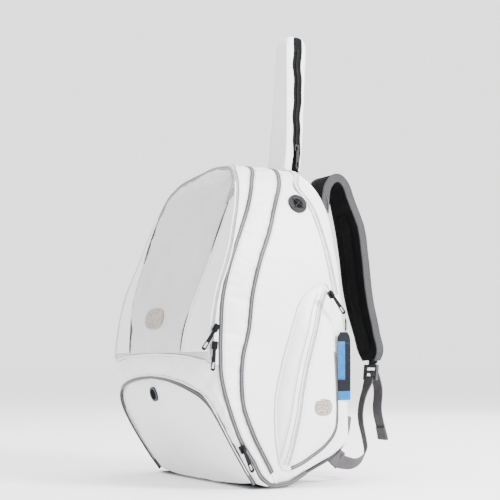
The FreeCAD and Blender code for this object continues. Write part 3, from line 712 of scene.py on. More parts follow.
# Lower edge of the front part, between the base and where the two front seams meet.
def ring_ro(count):
    pts = [skin_point(u, SEAM_A(u) - 1.0, 0.0) for u in np.linspace(u_at(4), U_ARC, 16)]
    pts += [(169, -121, 190), (160, -127, 192.5), (150, -130, 194), (110, -132, 199.5), (50, -133, 202.5),
            (0, -133.5, 203.5)]
    return smooth_line(pts, count)


def ring_rs(count):
    pts = []
    for x, z in [(158, 8), (160, 30), (162, 60), (163, 90), (161, 112), (154, 128), (140, 140), (121, 148),
                 (93, 156),
                 (50, 163), (0, 166)]:
        pts.append((x, FRONT_LINE(z) + 11 * (x / 160) ** 4, z))
    return smooth_line(pts, count)


def between_rings(a, b, count, puff, centre):
    g = np.zeros((len(a), count, 3))
    for i in range(len(a)):
        out = (a[i] + b[i]) / 2 - np.array(centre)
        out /= np.linalg.norm(out)
        for j in range(count):
            f = j / (count - 1)
            g[i, j] = a[i] * (1 - f) + b[i] * f + out * puff * math.sin(math.pi * f) ** 0.8
    return g


RO = ring_ro(90)
RS = ring_rs(90)
shoe_ring = between_rings(RS, RO, 12, 6.5, (0, -40, 60))
panel("shoe_surround", both(shoe_ring), "bag", "pearl", ["shoe_shell"], 2.0, seed=12.7, cap=1.8, flip=True)


def chord_patch(edge, centre, count, power):
    # Rows from the right edge to the left edge that rise to a centre line.
    g = np.zeros((len(edge), count, 3))
    for i in range(len(edge)):
        for j in range(count):
            s = math.sin((j / (count - 1) - 0.5) * math.pi)
            f = 1 - abs(s) ** power
            e = np.array(edge[i])
            c = np.array([0, *centre[i]])
            g[i, j] = [-e[0] * s, e[1] + (c[1] - e[1]) * f, e[2] + (c[2] - e[2]) * f]
    return g


shoe_centre = smooth_line([(FRONT_LINE(z) - (3.5 if 20 < z < 150 else 0), z) for z in
                           (2, 12, 30, 60, 90, 115, 133, 147, 158, 166)], 90)
shoe_face = chord_patch(RS, shoe_centre, 70, 3.2)
panel("shoe_face", shoe_face, "shoe_door", "pearl", ["shoe_lid"], 3.0, seed=21.3, cap=3.5, rough=1.4,
      gather=0.9, grow=0.02)

FE = np.array([skin_point(u, ZIP(u) - 1.5, -0.5) for u in np.linspace(u_at(190), 1.0, 400)])
run = arc_length(FE)
FE = np.stack([np.interp(np.linspace(0, run[-1], 120), run, FE[:, k]) for k in range(3)], axis=1)
fc = smooth_line([(-134, 206), (-132.5, 225), (-124, 280), (-108, 335), (-88, 392), (-68, 445), (-52, 482),
                  (-34, 507),
                  (-18, 518), (-6, 521.5), (3, 522.5)], 120)
front_grid = chord_patch(FE, fc, 90, 3.0)
panel("front_face", front_grid, "front_door", "silver", ["front_panel"], None, seed=33.1, cap=2.5, rough=0.4,
      gather=0.2)


# Surfaces that details are laid on.
def tree_of_piece(ob):
    # The settled surface, in millimetres.
    verts = [tuple(v.co / MM) for v in ob.data.vertices]
    return BVHTree.FromPolygons(verts, [tuple(q.vertices) for q in ob.data.polygons])


def tree_of(grid):
    g = np.array(grid)
    nu, nv = g.shape[:2]
    verts = [tuple(p) for p in g.reshape(-1, 3)]
    faces = [(i * nv + j, i * nv + j + 1, (i + 1) * nv + j + 1, (i + 1) * nv + j)
             for i in range(nu - 1) for j in range(nv - 1)]
    return BVHTree.FromPolygons(verts, faces)


FRONT_TREE = tree_of(front_grid)


def on_front(x, z, lift=0.0, tree=None):
    tree = tree or FRONT_TREE
    hit, nrm, _, _ = tree.ray_cast(Vector((x, -400, z)), Vector((0, 1, 0)))
    if hit is None:
        hit, nrm, _, _ = tree.find_nearest(Vector((x, FRONT_LINE(z), z)))
    if nrm.y > 0:
        nrm = -nrm
    p = hit + nrm * lift
    return (p.x, p.y, p.z), (nrm.x, nrm.y, nrm.z)


def front_path(points, lift, step=4.0, tree=None):
    line = smooth_line(points, step=step)
    pts = []
    ups = []
    for x, z in line:
        p, n = on_front(x, z, lift, tree)
        pts.append(p)
        ups.append(n)
    return np.array(pts), np.array(ups)


def mirror_x(points):
    return [(-x, z) for x, z in reversed(points)]


# ------------------------------------------------------------------ shield on the front panel
SHIELD = table([(200, 92), (215, 93), (240, 96), (275, 106), (310, 115), (345, 119), (380, 121), (415, 122),
                (440, 122),
                (455, 120)])
SHIELD_TOP = [(120, 455), (116.5, 473), (108, 486), (96, 495), (78, 503.5), (55, 510.5), (28, 514.5),
              (0, 515.8)]


def shield_edge(count):
    side = [(float(SHIELD(z)), z) for z in np.linspace(206, 448, 14)]
    return smooth_line(side + SHIELD_TOP, count)


SE = shield_edge(100)
mid_z = np.interp(np.linspace(0, 1, 100), np.linspace(0, 1, 12),
                  [206, 232, 262, 292, 322, 352, 382, 412, 440, 468, 494, 516])
shield_grid = np.zeros((100, 64, 3))
for i in range(100):
    for j in range(64):
        s = math.sin((j / 63 - 0.5) * math.pi)
        f = 1 - abs(s) ** 3
        x = -SE[i][0] * s
        z = SE[i][1] + (mid_z[i] - SE[i][1]) * f
        edge_x = abs(SE[i][0]) * (1 - abs(s))
        lift = 3.4 * min(1.0, (edge_x / 7.0)) ** 0.5 + 0.4
        if i < 5:
            lift = min(lift, 0.4 + 0.6 * i)
        if i > 92:
            lift = min(lift, 0.4 + 0.45 * (99 - i))
        shield_grid[i, j] = on_front(x, z, lift)[0]
shield = panel("front_shield_panel", shield_grid, "front_door", "silver", ["front_shield"], 2.0, seed=41.9,
               cap=1.6, rough=0.8,
               gather=0.0, thick=1.0)
SHIELD_TREE = tree_of_piece(shield)

arch_piping = [(x, z) for x, z in SHIELD_TOP]
path, ups = front_path([(121, 440)] + arch_piping[:-1] + [(0, 515.8)] + mirror_x(arch_piping[:-1]) + [(-121,
                                                                                                       440)],
                                                                                                       2.6,
                                                                                                       3.0)
finish_piece(swept("shield_piping", path, circle(2.5, 10)), "front_door", "piping_light", ["front_piping"])
finish_piece(swept("shield_piping_flange", path - ups * 1.2, flat_section(8, 1.0), up=ups), "front_door",
             "silver")


# A near-black strip laid in the gap beside the shield: painted shade standing for the shadow inside the slit.
def slit_shade_strip(name, lowz, highz, sign, offset, width):
    pts = []
    for z in np.linspace(lowz, highz, 12):
        pts.append((sign * (float(SHIELD(z)) + offset), z))
    path, ups = front_path(pts, 2.7, 3.0)
    n = len(path)
    ob = swept(name, path, flat_section(width, 0.8, 5, 0.3), up=ups)
    # The dark strip, painted shade filling the slit, tapers to both ends.
    me = ob.data
    k = 12
    for i in range(n):
        w = math.sin(math.pi * (i + 0.5) / n) ** 0.6
        for j in range(k):
            v = me.vertices[i * k + j]
            c = Vector(path[i]) * MM
            v.co = c + (v.co - c) * w
    return finish_piece(ob, "front_door", "shadow")


for sign, side in SIDES:
    # Painted shade strips in the gaps along the shield's lower and upper sides.
    slit_shade_strip("slit_shade_low_" + side, 206, 268, sign, 1.0, 4.2)
    slit_shade_strip("slit_shade_high_" + side, 360, 446, sign, 1.4, 5.4)
    # Hemmed edge of the wing strip beside the shield, and the seam that holds it.
    hem = [(sign * (float(SHIELD(z)) + 3.6), z) for z in np.linspace(208, 446, 20)]
    path, ups = front_path(hem, 1.4, 3.0)
    finish_piece(swept("wing_hem_" + side, path, circle(1.7, 8)), "front_door", "pearl")
    seam_pts = [(sign * (float(SHIELD(z)) + 9.0), z) for z in np.linspace(212, 440, 20)]
    path, ups = front_path(seam_pts, 0.9, 3.0)
    stitches("wing_stitches_" + side, path, ups, "front_door")
    inner = [(sign * (float(SHIELD(z)) - 6.5), z) for z in np.linspace(212, 446, 20)]
    path, ups = front_path(inner, 0.2, 3.0, SHIELD_TREE)
    stitches("shield_stitches_" + side, path, ups, "front_door")
    # White strip between the shield and the front zip.
    wing = np.zeros((60, 10, 3))
    for i, z in enumerate(np.linspace(207, 452, 60)):
        e = np.interp(z, FE[:, 2], FE[:, 0])
        a = float(SHIELD(z)) + 3.0
        for j in range(10):
            f = j / 9
            x = a * (1 - f) + (e - 3.0) * f
            p, n = on_front(sign * x, z, 0.5 + 1.6 * math.sin(math.pi * f) ** 0.6)
            wing[i, j] = p
    panel("wing_" + side, wing, "front_door", "pearl", [], None, 51.0 + sign, 0.8, 0.5, flip=(sign > 0),
          gather=0.4)

top_inner = [(x * 0.955, z - 6.5) for x, z in SHIELD_TOP]
path, ups = front_path(top_inner + mirror_x(top_inner[:-1]), 0.2, 3.0, SHIELD_TREE)
stitches("shield_top_stitches", path, ups, "front_door")

# Decorative glitter patch on the shield, one soft-cornered shape.
patch = np.zeros((16, 22, 3))
for i in range(16):
    for j in range(22):
        a = (i / 15 - 0.5) * 2
        b = (j / 21 - 0.5) * 2
        rx = b * math.sqrt(1 - 0.42 * a * a)
        rz = a * math.sqrt(1 - 0.42 * b * b)
        patch[i, j] = on_front(-2 + 33 * rx, 262 + 17 * rz, 0.9, SHIELD_TREE)[0]
ob = grid_object("glitter_patch", patch)
finish_piece(ob, "front_door", "glitter")
lined(ob, 0.5, "glitter")


# ------------------------------------------------------------------ piping along the seams
def ring_path(seam_fn, u_low, out, count=220, top=1.0):
    us = np.linspace(u_low, top, count)
    right = [skin_point(u, seam_fn(u), out) for u in us]
    left = [np.array((-p[0], p[1], p[2])) for p in right[-2::-1]]
    return np.array(right + left)


def ring_up(seam_fn, u_low, count=220):
    a = ring_path(seam_fn, u_low, 0.0, count)
    b = ring_path(seam_fn, u_low, 6.0, count)
    return (b - a) / 6.0


def even(path, step):
    p = np.array(path)
    run = arc_length(p)
    n = max(2, int(run[-1] / step))
    at = np.linspace(0, run[-1], n)
    return read_at(at, run, p)


def twin(name, path, ups, body, nodes=(), gap=1.75, radius=1.75):
    # Piping made of two dark cords with a lighter welt between them.
    path = np.array(path)
    ups = np.array(ups)
    tangents = np.gradient(path, axis=0)
    tangents /= np.linalg.norm(tangents, axis=1)[:, None]
    side = np.cross(tangents, ups)
    side /= np.linalg.norm(side, axis=1)[:, None]
    for k, sgn in (("a", 1), ("b", -1)):
        finish_piece(swept(name + "_cord_" + k, path + side * sgn * gap, circle(radius, 10)), body, "piping",
                     nodes if k == "a" else [])
    finish_piece(swept(name + "_core", path - ups * 0.2, circle(1.25, 8)), body, "piping_light")


def level(path, ups, step):
    # The path and its outward directions at even spacing.
    p = np.array(path)
    run = arc_length(p)
    at = np.linspace(0, run[-1], max(2, int(run[-1] / step)))
    q = read_at(at, run, p)
    u = read_at(at, run, np.array(ups))
    return q, u / np.linalg.norm(u, axis=1)[:, None]


foot = smooth_line([(169, 47, 21.5), (168.5, 38, 16), (168.2, 23, 9), (168, 9, 5.0), (168.2, -3, 3.6)], 16)
P1 = ring_path(SEAM_A, u_at(5), 1.4)
U1 = ring_up(SEAM_A, u_at(5))
P1 = np.concatenate([foot, P1, (foot * (-1, 1, 1))[::-1]])
U1 = np.concatenate([np.tile((0.93, 0, -0.35), (16, 1)), U1, np.tile((-0.93, 0, -0.35), (16, 1))])
twin("piping_front", *level(P1, U1, 3.0), "bag", ["seam_piping_front"])
P2 = ring_path(SEAM_B, u_at(24), 1.4)
twin("piping_rear", *level(P2, ring_up(SEAM_B, u_at(24)), 3.0), "bag", ["seam_piping_rear"])
for sgn in (1, -1):
    low_seam = np.array([skin_point(u, SEAM_B(u), -0.6) for u in np.linspace(u_at(3), u_at(30), 14)]) * (sgn,
                                                                                                         1, 1)
    finish_piece(swept("seam_low_%s" % ("right" if sgn > 0 else "left"), low_seam, circle(2.0, 8)), "bag",
                 "pearl")
for label, fn, off, low_u in (("front_a", SEAM_A, -6.5, U_ARC), ("front_b", SEAM_A, 6.5, u_at(6)),
                              ("rear_a", SEAM_B, -6.5, u_at(30)), ("rear_b", SEAM_B, 6.5, u_at(30))):
    shifted_fn = (lambda f, o: (lambda u: f(u) + o))(fn, off)
    p = ring_path(shifted_fn, low_u, 2.0)
    n = ring_up(shifted_fn, low_u)
    stitches("stitches_" + label, p, n, "bag")

# Seam between the shoe compartment and the front panel.
finish_piece(swept("arc_welt", even([p + np.array((0, -1.2, 1.0)) for p in RO[52:]] +
                                    [np.array((-p[0], p[1] - 1.2, p[2] + 1.0)) for p in RO[-2:51:-1]], 3.0),
                                    circle(1.7, 8)),
             "bag", "pearl")
# Piping round the shoe compartment's door.
shoe_pipe = [p + (p - np.array((0, -60, 80))) / np.linalg.norm(p - np.array((0, -60,
                                                                             80))) * 3.4 + np.array((0, -1.6,
                                                                                                     0)) for p in RS]
shoe_loop = np.array(shoe_pipe + [np.array((-p[0], p[1], p[2])) for p in shoe_pipe[-2::-1]])
shoe_ups = shoe_loop - np.array((0, -30, 90))
shoe_ups /= np.linalg.norm(shoe_ups, axis=1)[:, None]
twin("shoe_piping_ring", *level(shoe_loop, shoe_ups, 3.0), "shoe_door", ["shoe_piping"], 1.6, 1.6)


# ------------------------------------------------------------------ zips
def zip_run(name, path, ups, body, nodes=(), tape_w=9.0, coil_w=2.3, lip_gap=3.6, sink=0.0):
    path = np.array(path)
    ups = np.array(ups)
    finish_piece(swept(name + "_tape", path - ups * (0.8 + sink), flat_section(tape_w, 0.8), up=ups), body,
                 "tape", nodes)
    coil = repeated(name + "_coil", path, ups, 1.7, TOOTH[0], TOOTH[1], scale=(1.5, coil_w, 1.5),
                    shift=(0, 0.1 - sink))
    finish_piece(coil, body, "coil")
    tangents = np.gradient(path, axis=0)
    tangents /= np.linalg.norm(tangents, axis=1)[:, None]
    side = np.cross(tangents, ups)
    for k, sgn in (("a", 1), ("b", -1)):
        finish_piece(swept(name + "_lip_" + k, path + side * sgn * lip_gap + ups * 0.3, circle(1.35, 8)),
                     body, "pearl")


zp = np.array([skin_point(u, ZIP(u), 0.6) for u in np.linspace(u_at(200), 1.0, 200)])
zu = []
for u in np.linspace(u_at(200), 1.0, 200):
    nx, nz = arch_normal(u)
    v = np.array([nx, -0.75, nz])
    zu.append(v / np.linalg.norm(v))
zu = np.array(zu)
zp = np.concatenate([zp, (zp[:-1] * (-1, 1, 1))[::-1]])
zu = np.concatenate([zu, (zu[:-1] * (-1, 1, 1))[::-1]])
zip_run("front_zip", zp, zu, "bag", ["front_zip_chain"], sink=0.6)

SEAM_C = seam([(300, 107), (324, 102), (361, 96), (407, 87), (447, 77), (474, 65), (500, 84)], 108)
zr = ring_path(SEAM_C, u_at(300), 2.6)
zn = ring_up(SEAM_C, u_at(300))
zip_run("rear_zip", zr, zn, "bag", ["racket_zip_chain"], sink=0.4)

# Thin zip between the door piping and the shoe surround.
sp = np.array([RS[k] * 0.86 + RO[k] * 0.14 for k in range(6, 90)])
sp = np.concatenate([sp, (sp[:-1] * (-1, 1, 1))[::-1]])
su = sp - np.array((0, -40, 60))
su /= np.linalg.norm(su, axis=1)[:, None]
zip_run("shoe_zip", sp + su * 2.0, su, "bag", ["shoe_zip_chain"], tape_w=7.0, coil_w=1.9, lip_gap=3.1,
        sink=0.4)


# ------------------------------------------------------------------ base and back
base_path = smooth_line([(-46, 1.2), (-30, 0.3), (5, 0.3), (20, 3), (46, 15), (68, 25), (99, 40), (121, 60),
                         (130, 82),
                         (133.5, 106)], 60)
base = np.zeros((60, 30, 3))
for i, (y, z) in enumerate(base_path):
    w = float(np.interp(z, ARCH[:, 1], ARCH[:, 0])) - 6
    for j in range(30):
        s = (j / 29 - 0.5) * 2
        base[i, j] = (w * s, y, z)
panel("base_cloth", base, "bag", "base", ["base_panel"], None, 61.0, 1.2, 0.15, gather=0.0, flip=False)
back_edge = np.array([skin_point(u, 132.5, 0) for u in np.linspace(u_at(100), 1.0, 90)])
back_mid = smooth_line([(135, 100), (137, 200), (137, 300), (137, 400), (136, 460), (134, 482), (132.5, 488)],
                       90)
back_mid[:, 1] = np.interp(np.linspace(0, 1, 90), np.linspace(0, 1, 90),
                           np.linspace(100, back_edge[-1][2], 90))
back = chord_patch(back_edge, back_mid, 50, 3.0)
panel("back_cloth", back, "bag", "black", ["back_panel"], 2.0, 67.0, 1.4, 0.8, flip=True, gather=0.4)


# ------------------------------------------------------------------ side pockets
POCKET = [(95, 306), (84, 318), (66, 311), (48, 298), (35, 281), (27, 262), (16, 232), (6, 205), (-5, 172),
          (-13, 143),
          (-16, 112), (-14, 82), (-8, 53), (3, 29), (30, 35), (51, 46), (73, 60), (90, 78), (96, 98),
          (97, 140),
          (97, 200), (97, 260), (95, 306)]
POCKET_LINE = smooth_line(POCKET, 145)[:-1]
PC = np.array((48.0, 165.0))


def side_x(y, z):
    return skin_point(u_at(z), y, 0)[0] + 2.0


def pocket_height(f, y, z):
    body_h = 15.5 * (1 - f ** 3.2) ** 0.62
    low = 1.0 + 0.12 * math.exp(-((z - 110) / 70) ** 2)
    narrow = min(1.0, 0.35 + max(0.0, (318 - z)) / 90)
    return body_h * low * narrow


RINGS = 30
pocket_grid = np.zeros((RINGS, 144, 3))
for i in range(RINGS):
    f = math.sin(i / (RINGS - 1) * math.pi / 2)
    for j, (y, z) in enumerate(POCKET_LINE):
        yy, zz = PC + (np.array((y, z)) - PC) * f
        pocket_grid[i, j] = (side_x(yy, zz) + pocket_height(f, yy, zz) - 0.6, yy, zz)


def pocket_mesh(sign):
    side = "right" if sign > 0 else "left"
    g = pocket_grid.copy()
    for i in range(RINGS):
        for j in range(144):
            p = g[i, j]
            f = math.sin(i / (RINGS - 1) * math.pi / 2)
            ang = j / 144 * 60
            g[i, j][0] += 0.9 * noise.noise(Vector((p[1] / 30, p[2] / 34, 4.2))) * (1 - f ** 6)
            g[i, j][0] += 1.3 * noise.noise(Vector((ang, 0.5, 2.0))) * (f ** 5) * (1 - f ** 14)
    g[..., 0] *= sign
    ob = grid_object("pocket_" + side, g, wrap_v=True, flip=(sign < 0))
    finish_piece(ob, "bag", "pearl", ["side_pocket_" + side])
    lined(ob, 1.2)
    pins = [(RINGS - 1) * 144 + j for j in range(144)] + [(RINGS - 2) * 144 + j for j in range(144)]
    settle(ob, pins, 3.0, 0.02, 2.2)
    return ob


tree_verts = [tuple(p) for p in pocket_grid.reshape(-1, 3)]
tree_faces = [(i * 144 + j, i * 144 + (j + 1) % 144, (i + 1) * 144 + (j + 1) % 144, (i + 1) * 144 + j)
              for i in range(RINGS - 1) for j in range(144)]
POCKET_TREE = BVHTree.FromPolygons(tree_verts, tree_faces)


def on_pocket(y, z, lift):
    hit, nrm, _, _ = POCKET_TREE.ray_cast(Vector((400, y, z)), Vector((-1, 0, 0)))
    if hit is None:
        return (side_x(y, z) + lift, y, z), (1, 0, 0)
    if nrm.x < 0:
        nrm = -nrm
    p = hit + nrm * lift
    return (p.x, p.y, p.z), tuple(nrm)


def pocket_path(points, lift, step=3.0):
    line = smooth_line(points, step=step)
    res = [on_pocket(y, z, lift) for y, z in line]
    return np.array([r[0] for r in res]), np.array([r[1] for r in res])


POCKET_ZIP = [(86, 306), (80, 298), (66, 272), (55, 240), (44, 210), (33, 178), (24, 145), (18, 112),
              (13, 84), (9, 55), (6, 36)]
for sign, side in SIDES:
    piece = pocket_mesh(sign)
    if sign > 0:
        POCKET_TREE = tree_of_piece(piece)

    def turned(path, ups):
        return path * (sign, 1, 1), ups * (sign, 1, 1)
    rim_pts = [(y, z) for y, z in POCKET_LINE]
    rp = np.array([(side_x(y, z) + 0.8, y, z) for y, z in rim_pts[2:78]])
    finish_piece(swept("pocket_seam_" + side, rp * (sign, 1, 1), circle(1.7, 8)), "bag", "pearl")
    lower = np.array([(side_x(y, z) + 2.4, y, z) for y, z in rim_pts[76:124]])
    twin("pocket_low_piping_" + side, lower * (sign, 1, 1), np.tile((sign, 0, 0), (len(lower), 1)), "bag", [],
         1.6, 1.6)
    upper = np.array([(side_x(y, z) + 1.0, y, z) for y, z in list(rim_pts[123:]) + list(rim_pts[:3])])
    finish_piece(swept("pocket_back_edge_" + side, upper * (sign, 1, 1), circle(2.0, 8)), "bag", "pearl")
    zp_, zu_ = turned(*pocket_path(POCKET_ZIP, 0.9))
    zip_run("pocket_zip_" + side, zp_, zu_, "bag", ["pocket_zip_chains"] if sign > 0 else [], tape_w=9,
            coil_w=2.0,
            lip_gap=3.6, sink=0.4)
    # Storm flap beside the zip.
    flap_pts = [(y - 9.5, z + 1.5) for y, z in POCKET_ZIP[1:]]
    fp, fu = turned(*pocket_path(flap_pts, 1.0))
    finish_piece(swept("pocket_flap_" + side, fp, flat_section(7.5, 1.5, 5, 0.7), up=fu), "bag", "pearl")
    st_pts = [(y - 15.5, z + 2.5) for y, z in POCKET_ZIP[2:]]
    sp_, su_ = turned(*pocket_path(st_pts, 0.4))
    stitches("pocket_stitches_" + side, sp_, su_, "bag")
    st_pts = [(y + 8.0, z - 1.0) for y, z in POCKET_ZIP[2:]]
    sp_, su_ = turned(*pocket_path(st_pts, 0.4))
    stitches("pocket_stitches_b_" + side, sp_, su_, "bag")
    patch = np.zeros((12, 16, 3))
    for i in range(12):
        for j in range(16):
            a = (i / 11 - 0.5) * 2
            b = (j / 15 - 0.5) * 2
            ry = b * math.sqrt(1 - 0.42 * a * a)
            rz = a * math.sqrt(1 - 0.42 * b * b)
            patch[i, j] = on_pocket(63 + 17 * ry, 122 + 13 * rz, 0.8)[0]
    patch[..., 0] *= sign
    ob = grid_object("pocket_patch_" + side, patch, flip=(sign > 0))
    finish_piece(ob, "bag", "glitter")
    lined(ob, 0.4, "glitter")

# ------------------------------------------------------------------ vents
vent_n = np.array((0, -0.966, -0.258))
vent_c = np.array((0, -132.5, 141.0)) + vent_n * 1.6
vent_a = np.array((1.0, 0, 0))
vent_b = np.cross(vent_n, vent_a)
core = np.zeros((7, 30, 3))
for i in range(7):
    for j in range(30):
        r = 9.6 * i / 6
        t = 2 * math.pi * j / 30
        core[i,
             j] = vent_c + vent_n * (1.0 - 0.8 * (i / 6) ** 2) + vent_a * r * math.cos(t) + vent_b * r * math.sin(t)
finish_piece(grid_object("shoe_vent_net", core, wrap_v=True), "shoe_door", "mesh", ["shoe_vent_mesh"])
for sign, side in SIDES:
    c = np.array((sign * 139.5, 52.0, 446.5))
    n = np.array((sign * 0.917, 0, 0.397))
    a = np.array((0, 1.0, 0))
    b = np.cross(n, a)
    disc = np.zeros((10, 36, 3))
    for i in range(10):
        for j in range(36):
            r = 12.5 * i / 9
            t = 2 * math.pi * j / 36
            disc[i, j] = c + n * (2.4 + 1.2 * (1 - (i / 9) ** 2)) + a * r * math.cos(t) + b * r * math.sin(t)
    finish_piece(grid_object("side_vent_net_" + side, disc, wrap_v=True, flip=(sign > 0)), "bag", "mesh")
    for k in range(2):
        d = a * math.cos(0.785 + 1.5708 * k) + b * math.sin(0.785 + 1.5708 * k)
        bar = np.array([c + n * (4.4 - 1.2 * (q / 12) ** 2) + d * q for q in np.linspace(-12, 12, 9)])
        finish_piece(swept("side_vent_bar_%s_%d" % (side, k), bar, flat_section(1.6, 1.2, 4, 0.4), up=n),
                     "bag", "plastic")

# ------------------------------------------------------------------ shoulder straps
RUN = smooth_line([(139.6, 446), (140, 466), (143, 484), (149.5, 495.5), (156.5, 500.5), (166, 501),
                   (177, 490), (187, 462),
                   (197, 424), (203, 377), (206, 328), (211, 284), (217, 253), (223, 220), (226, 195)], 150)
out_x = table([(193, 112), (205, 122), (240, 122), (300, 118), (380, 113), (460, 108), (502, 104)])
in_x = table([(193, 84), (208, 74), (240, 67), (300, 56), (380, 48), (460, 43), (502, 42)])
rt = np.gradient(RUN, axis=0)
rt /= np.linalg.norm(rt, axis=1)[:, None]
RN = np.stack([-rt[:, 1], rt[:, 0]], axis=1) * -1


def strap_grid(sign, offset, across=20, edge_in=0.0, start=0, dome=1.6):
    g = np.zeros((150 - start, across, 3))
    for i in range(start, 150):
        y, z = RUN[i]
        zz = z if i > 60 else max(z, 501)
        xo = float(out_x(min(z, 502))) if i > 45 else 104.0
        xi = float(in_x(min(z, 502))) if i > 45 else 42.0
        if i < 40:
            xo, xi = 98.0, 48.0
        if 40 <= i <= 60:
            f = (i - 40) / 20
            xo = 98 + (float(out_x(min(z, 502))) - 98) * f
            xi = 48 + (float(in_x(min(z, 502))) - 48) * f
        ny, nz = RN[i]
        for j in range(across):
            s = (j / (across - 1) - 0.5) * 2
            x = (xo + xi) / 2 + ((xo - xi) / 2 - edge_in) * s
            d = offset + (dome * (1 - abs(s) ** 3)) * (1 if offset > 0 else -1)
            g[i - start, j] = (x * sign, y + ny * d, z + nz * d)
    return g


def blended(ob, mat, nodes=()):
    ob.data.materials.append(M[mat])
    for poly in ob.data.polygons:
        poly.use_smooth = True
    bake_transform(ob)
    if nodes:
        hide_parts(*nodes)
    return ob


def face_cloth(ob):
    mod = ob.modifiers.new("Thick", "SOLIDIFY")
    mod.thickness = 0.0012
    smoothed(ob)


for sign, side in SIDES:
    outer = roughen(strap_grid(sign, 3.0), 0.5, 30.0, 71 + sign)
    inner = roughen(strap_grid(sign, -8.5), 0.6, 26.0, 75 + sign)
    ob = grid_object("strap_outer_" + side, outer, flip=(sign < 0))
    blended(ob, "black", ["strap_pad_" + side])
    face_cloth(ob)
    ob = grid_object("strap_air_mesh_" + side, inner, flip=(sign > 0))
    blended(ob, "mesh", ["strap_mesh_" + side])
    face_cloth(ob)
    # Walls of the padding and the binding that covers both edges.
    for k, idx in (("out", -1), ("in", 0)):
        edge = (outer[:, idx] + inner[:, idx]) / 2
        across = np.array((sign * (1 if idx == -1 else -1), 0.0, 0.0))
        ups = np.tile(across, (len(edge), 1))
        ob = swept("strap_binding_%s_%s" % (k, side), edge + across * 0.3, [(q[0], q[1]) for q in
                   flat_section(14.5, 3.0, 7, 1.2)], up=ups)
        blended(ob, "binding")
        bead = swept("strap_edge_%s_%s" % (k, side), inner[:, idx] + across * 0.2, circle(2.1, 8))
        blended(bead, "binding")
    # Webbing ladder on the outer face, as one flat strip.
    mid = np.zeros((150, 3))
    for i in range(150):
        mid[i] = (outer[i, 9] + outer[i, 10]) / 2
    nrm = np.array([(0, RN[i][0], RN[i][1]) for i in range(150)])
    ob = swept("strap_face_webbing_" + side, (mid + nrm * 1.0)[52:143], flat_section(25, 1.5, 7, 0.5),
               up=nrm[52:143])
    blended(ob, "black")

# The lower webbing from the ladder-lock to its tab, and the tail below the ladder-lock.
STRAND_ROUTE = [(99, 223, 166), (99, 222, 158), (101, 206, 128), (106, 198, 98), (116, 199, 68),
                (130, 194, 42),
                (141, 165, 26), (147, 134, 30), (149.5, 122, 35)]
TAIL_ROUTE = [(99, 233, 178), (99, 240, 160), (99.5, 243, 140), (100, 238, 112), (101, 244, 86),
              (102, 250, 66)]


def route_line(points, count):
    # The route's own NURBS spline, read back at even steps along its length.
    cu = bpy.data.curves.new("route", "CURVE")
    cu.dimensions = "3D"
    sp = cu.splines.new("NURBS")
    sp.points.add(len(points) - 1)
    for knot, q in zip(sp.points, points):
        knot.co = (q[0] * MM, q[1] * MM, q[2] * MM, 1)
    sp.order_u = 3
    sp.use_endpoint_u = True
    cu.resolution_u = 24
    holder = bpy.data.objects.new("route", cu)
    me = bpy.data.meshes.new_from_object(holder)
    pts = np.array([tuple(v.co) for v in me.vertices]) / MM
    bpy.data.objects.remove(holder)
    bpy.data.curves.remove(cu)
    bpy.data.meshes.remove(me)
    run = arc_length(pts)
    at = np.linspace(0, run[-1], count)
    return read_at(at, run, pts)


for sign, side in SIDES:
    body = "strap_" + side
    key = "strap_webbing_" + side
    strand = route_line(STRAND_ROUTE, 90)
    facing = smooth_line([(0, 1, 0.1), (0, 1, 0.25), (0.1, 0.98, 0.2), (0.2, 0.97, 0), (0.35, 0.92, -0.3),
                          (0.6, 0.5, -0.6), (0.75, -0.2, -0.6), (0.9, -0.35, -0.3)], 90)
    ob = swept("webbing_strand_" + side, strand * (sign, 1, 1), flat_section(25, 1.8, 9, 0.6),
               up=facing * (sign, 1, 1))
    finish_piece(ob, body, "webbing", [key])
    tail = route_line(TAIL_ROUTE, 60)
    ob = swept("webbing_tail_" + side, tail * (sign, 1, 1), flat_section(25, 1.8, 9, 0.6),
               up=np.tile((0, 1, 0.15), (60, 1)))
    finish_piece(ob, body, "webbing")
    fold = smooth_line([(102, 250, 66), (102, 250.6, 62), (102, 247.5, 62), (102, 246.5, 70),
                        (101.6, 243.6, 82)], 24)
    ob = swept("webbing_fold_" + side, fold * (sign, 1, 1), flat_section(25, 1.8, 9, 0.6),
               up=np.tile((0, 1, 0.1), (24, 1)))
    finish_piece(ob, body, "webbing")
    short = smooth_line([(98, 224, 222), (98, 231, 205), (98.5, 233, 192), (99, 228, 186)], 24)
    ob = swept("buckle_webbing_" + side, short * (sign, 1, 1), flat_section(25, 1.8, 9, 0.6),
               up=np.tile((0, 1, 0.2), (24, 1)))
    finish_piece(ob, body, "webbing")
    anchor = swept("webbing_tab_" + side, np.array([(150, 126, 34), (150.5, 118, 40), (152, 108, 48), (154,
                                                                                                       98,
                                                                                                       56)]) *
                   (sign, 1, 1), flat_section(30, 2.4, 7, 0.8), up=np.tile((sign * 0.9, 0.3, -0.3), (4, 1)))
    finish_piece(anchor, "bag", "webbing", ["webbing_anchors"] if sign > 0 else [])
    loop = []
    for k in range(40):
        a = 2 * math.pi * k / 40
        loop.append((92 + 15.5 * max(-1, min(1, 1.25 * math.cos(a))), 223.5 + 3.0 * math.sin(a) + 1.0, 285))
    ob = swept("strap_keeper_" + side, np.array(loop) * (sign, 1, 1), flat_section(9, 1.6, 5, 0.4),
               up=np.array([(sign * math.cos(2 * math.pi * k / 40), math.sin(2 * math.pi * k / 40),
                             0.01) for k in range(40)]),
               closed=True)
    finish_piece(ob, body, "black", ["strap_loop_" + side])

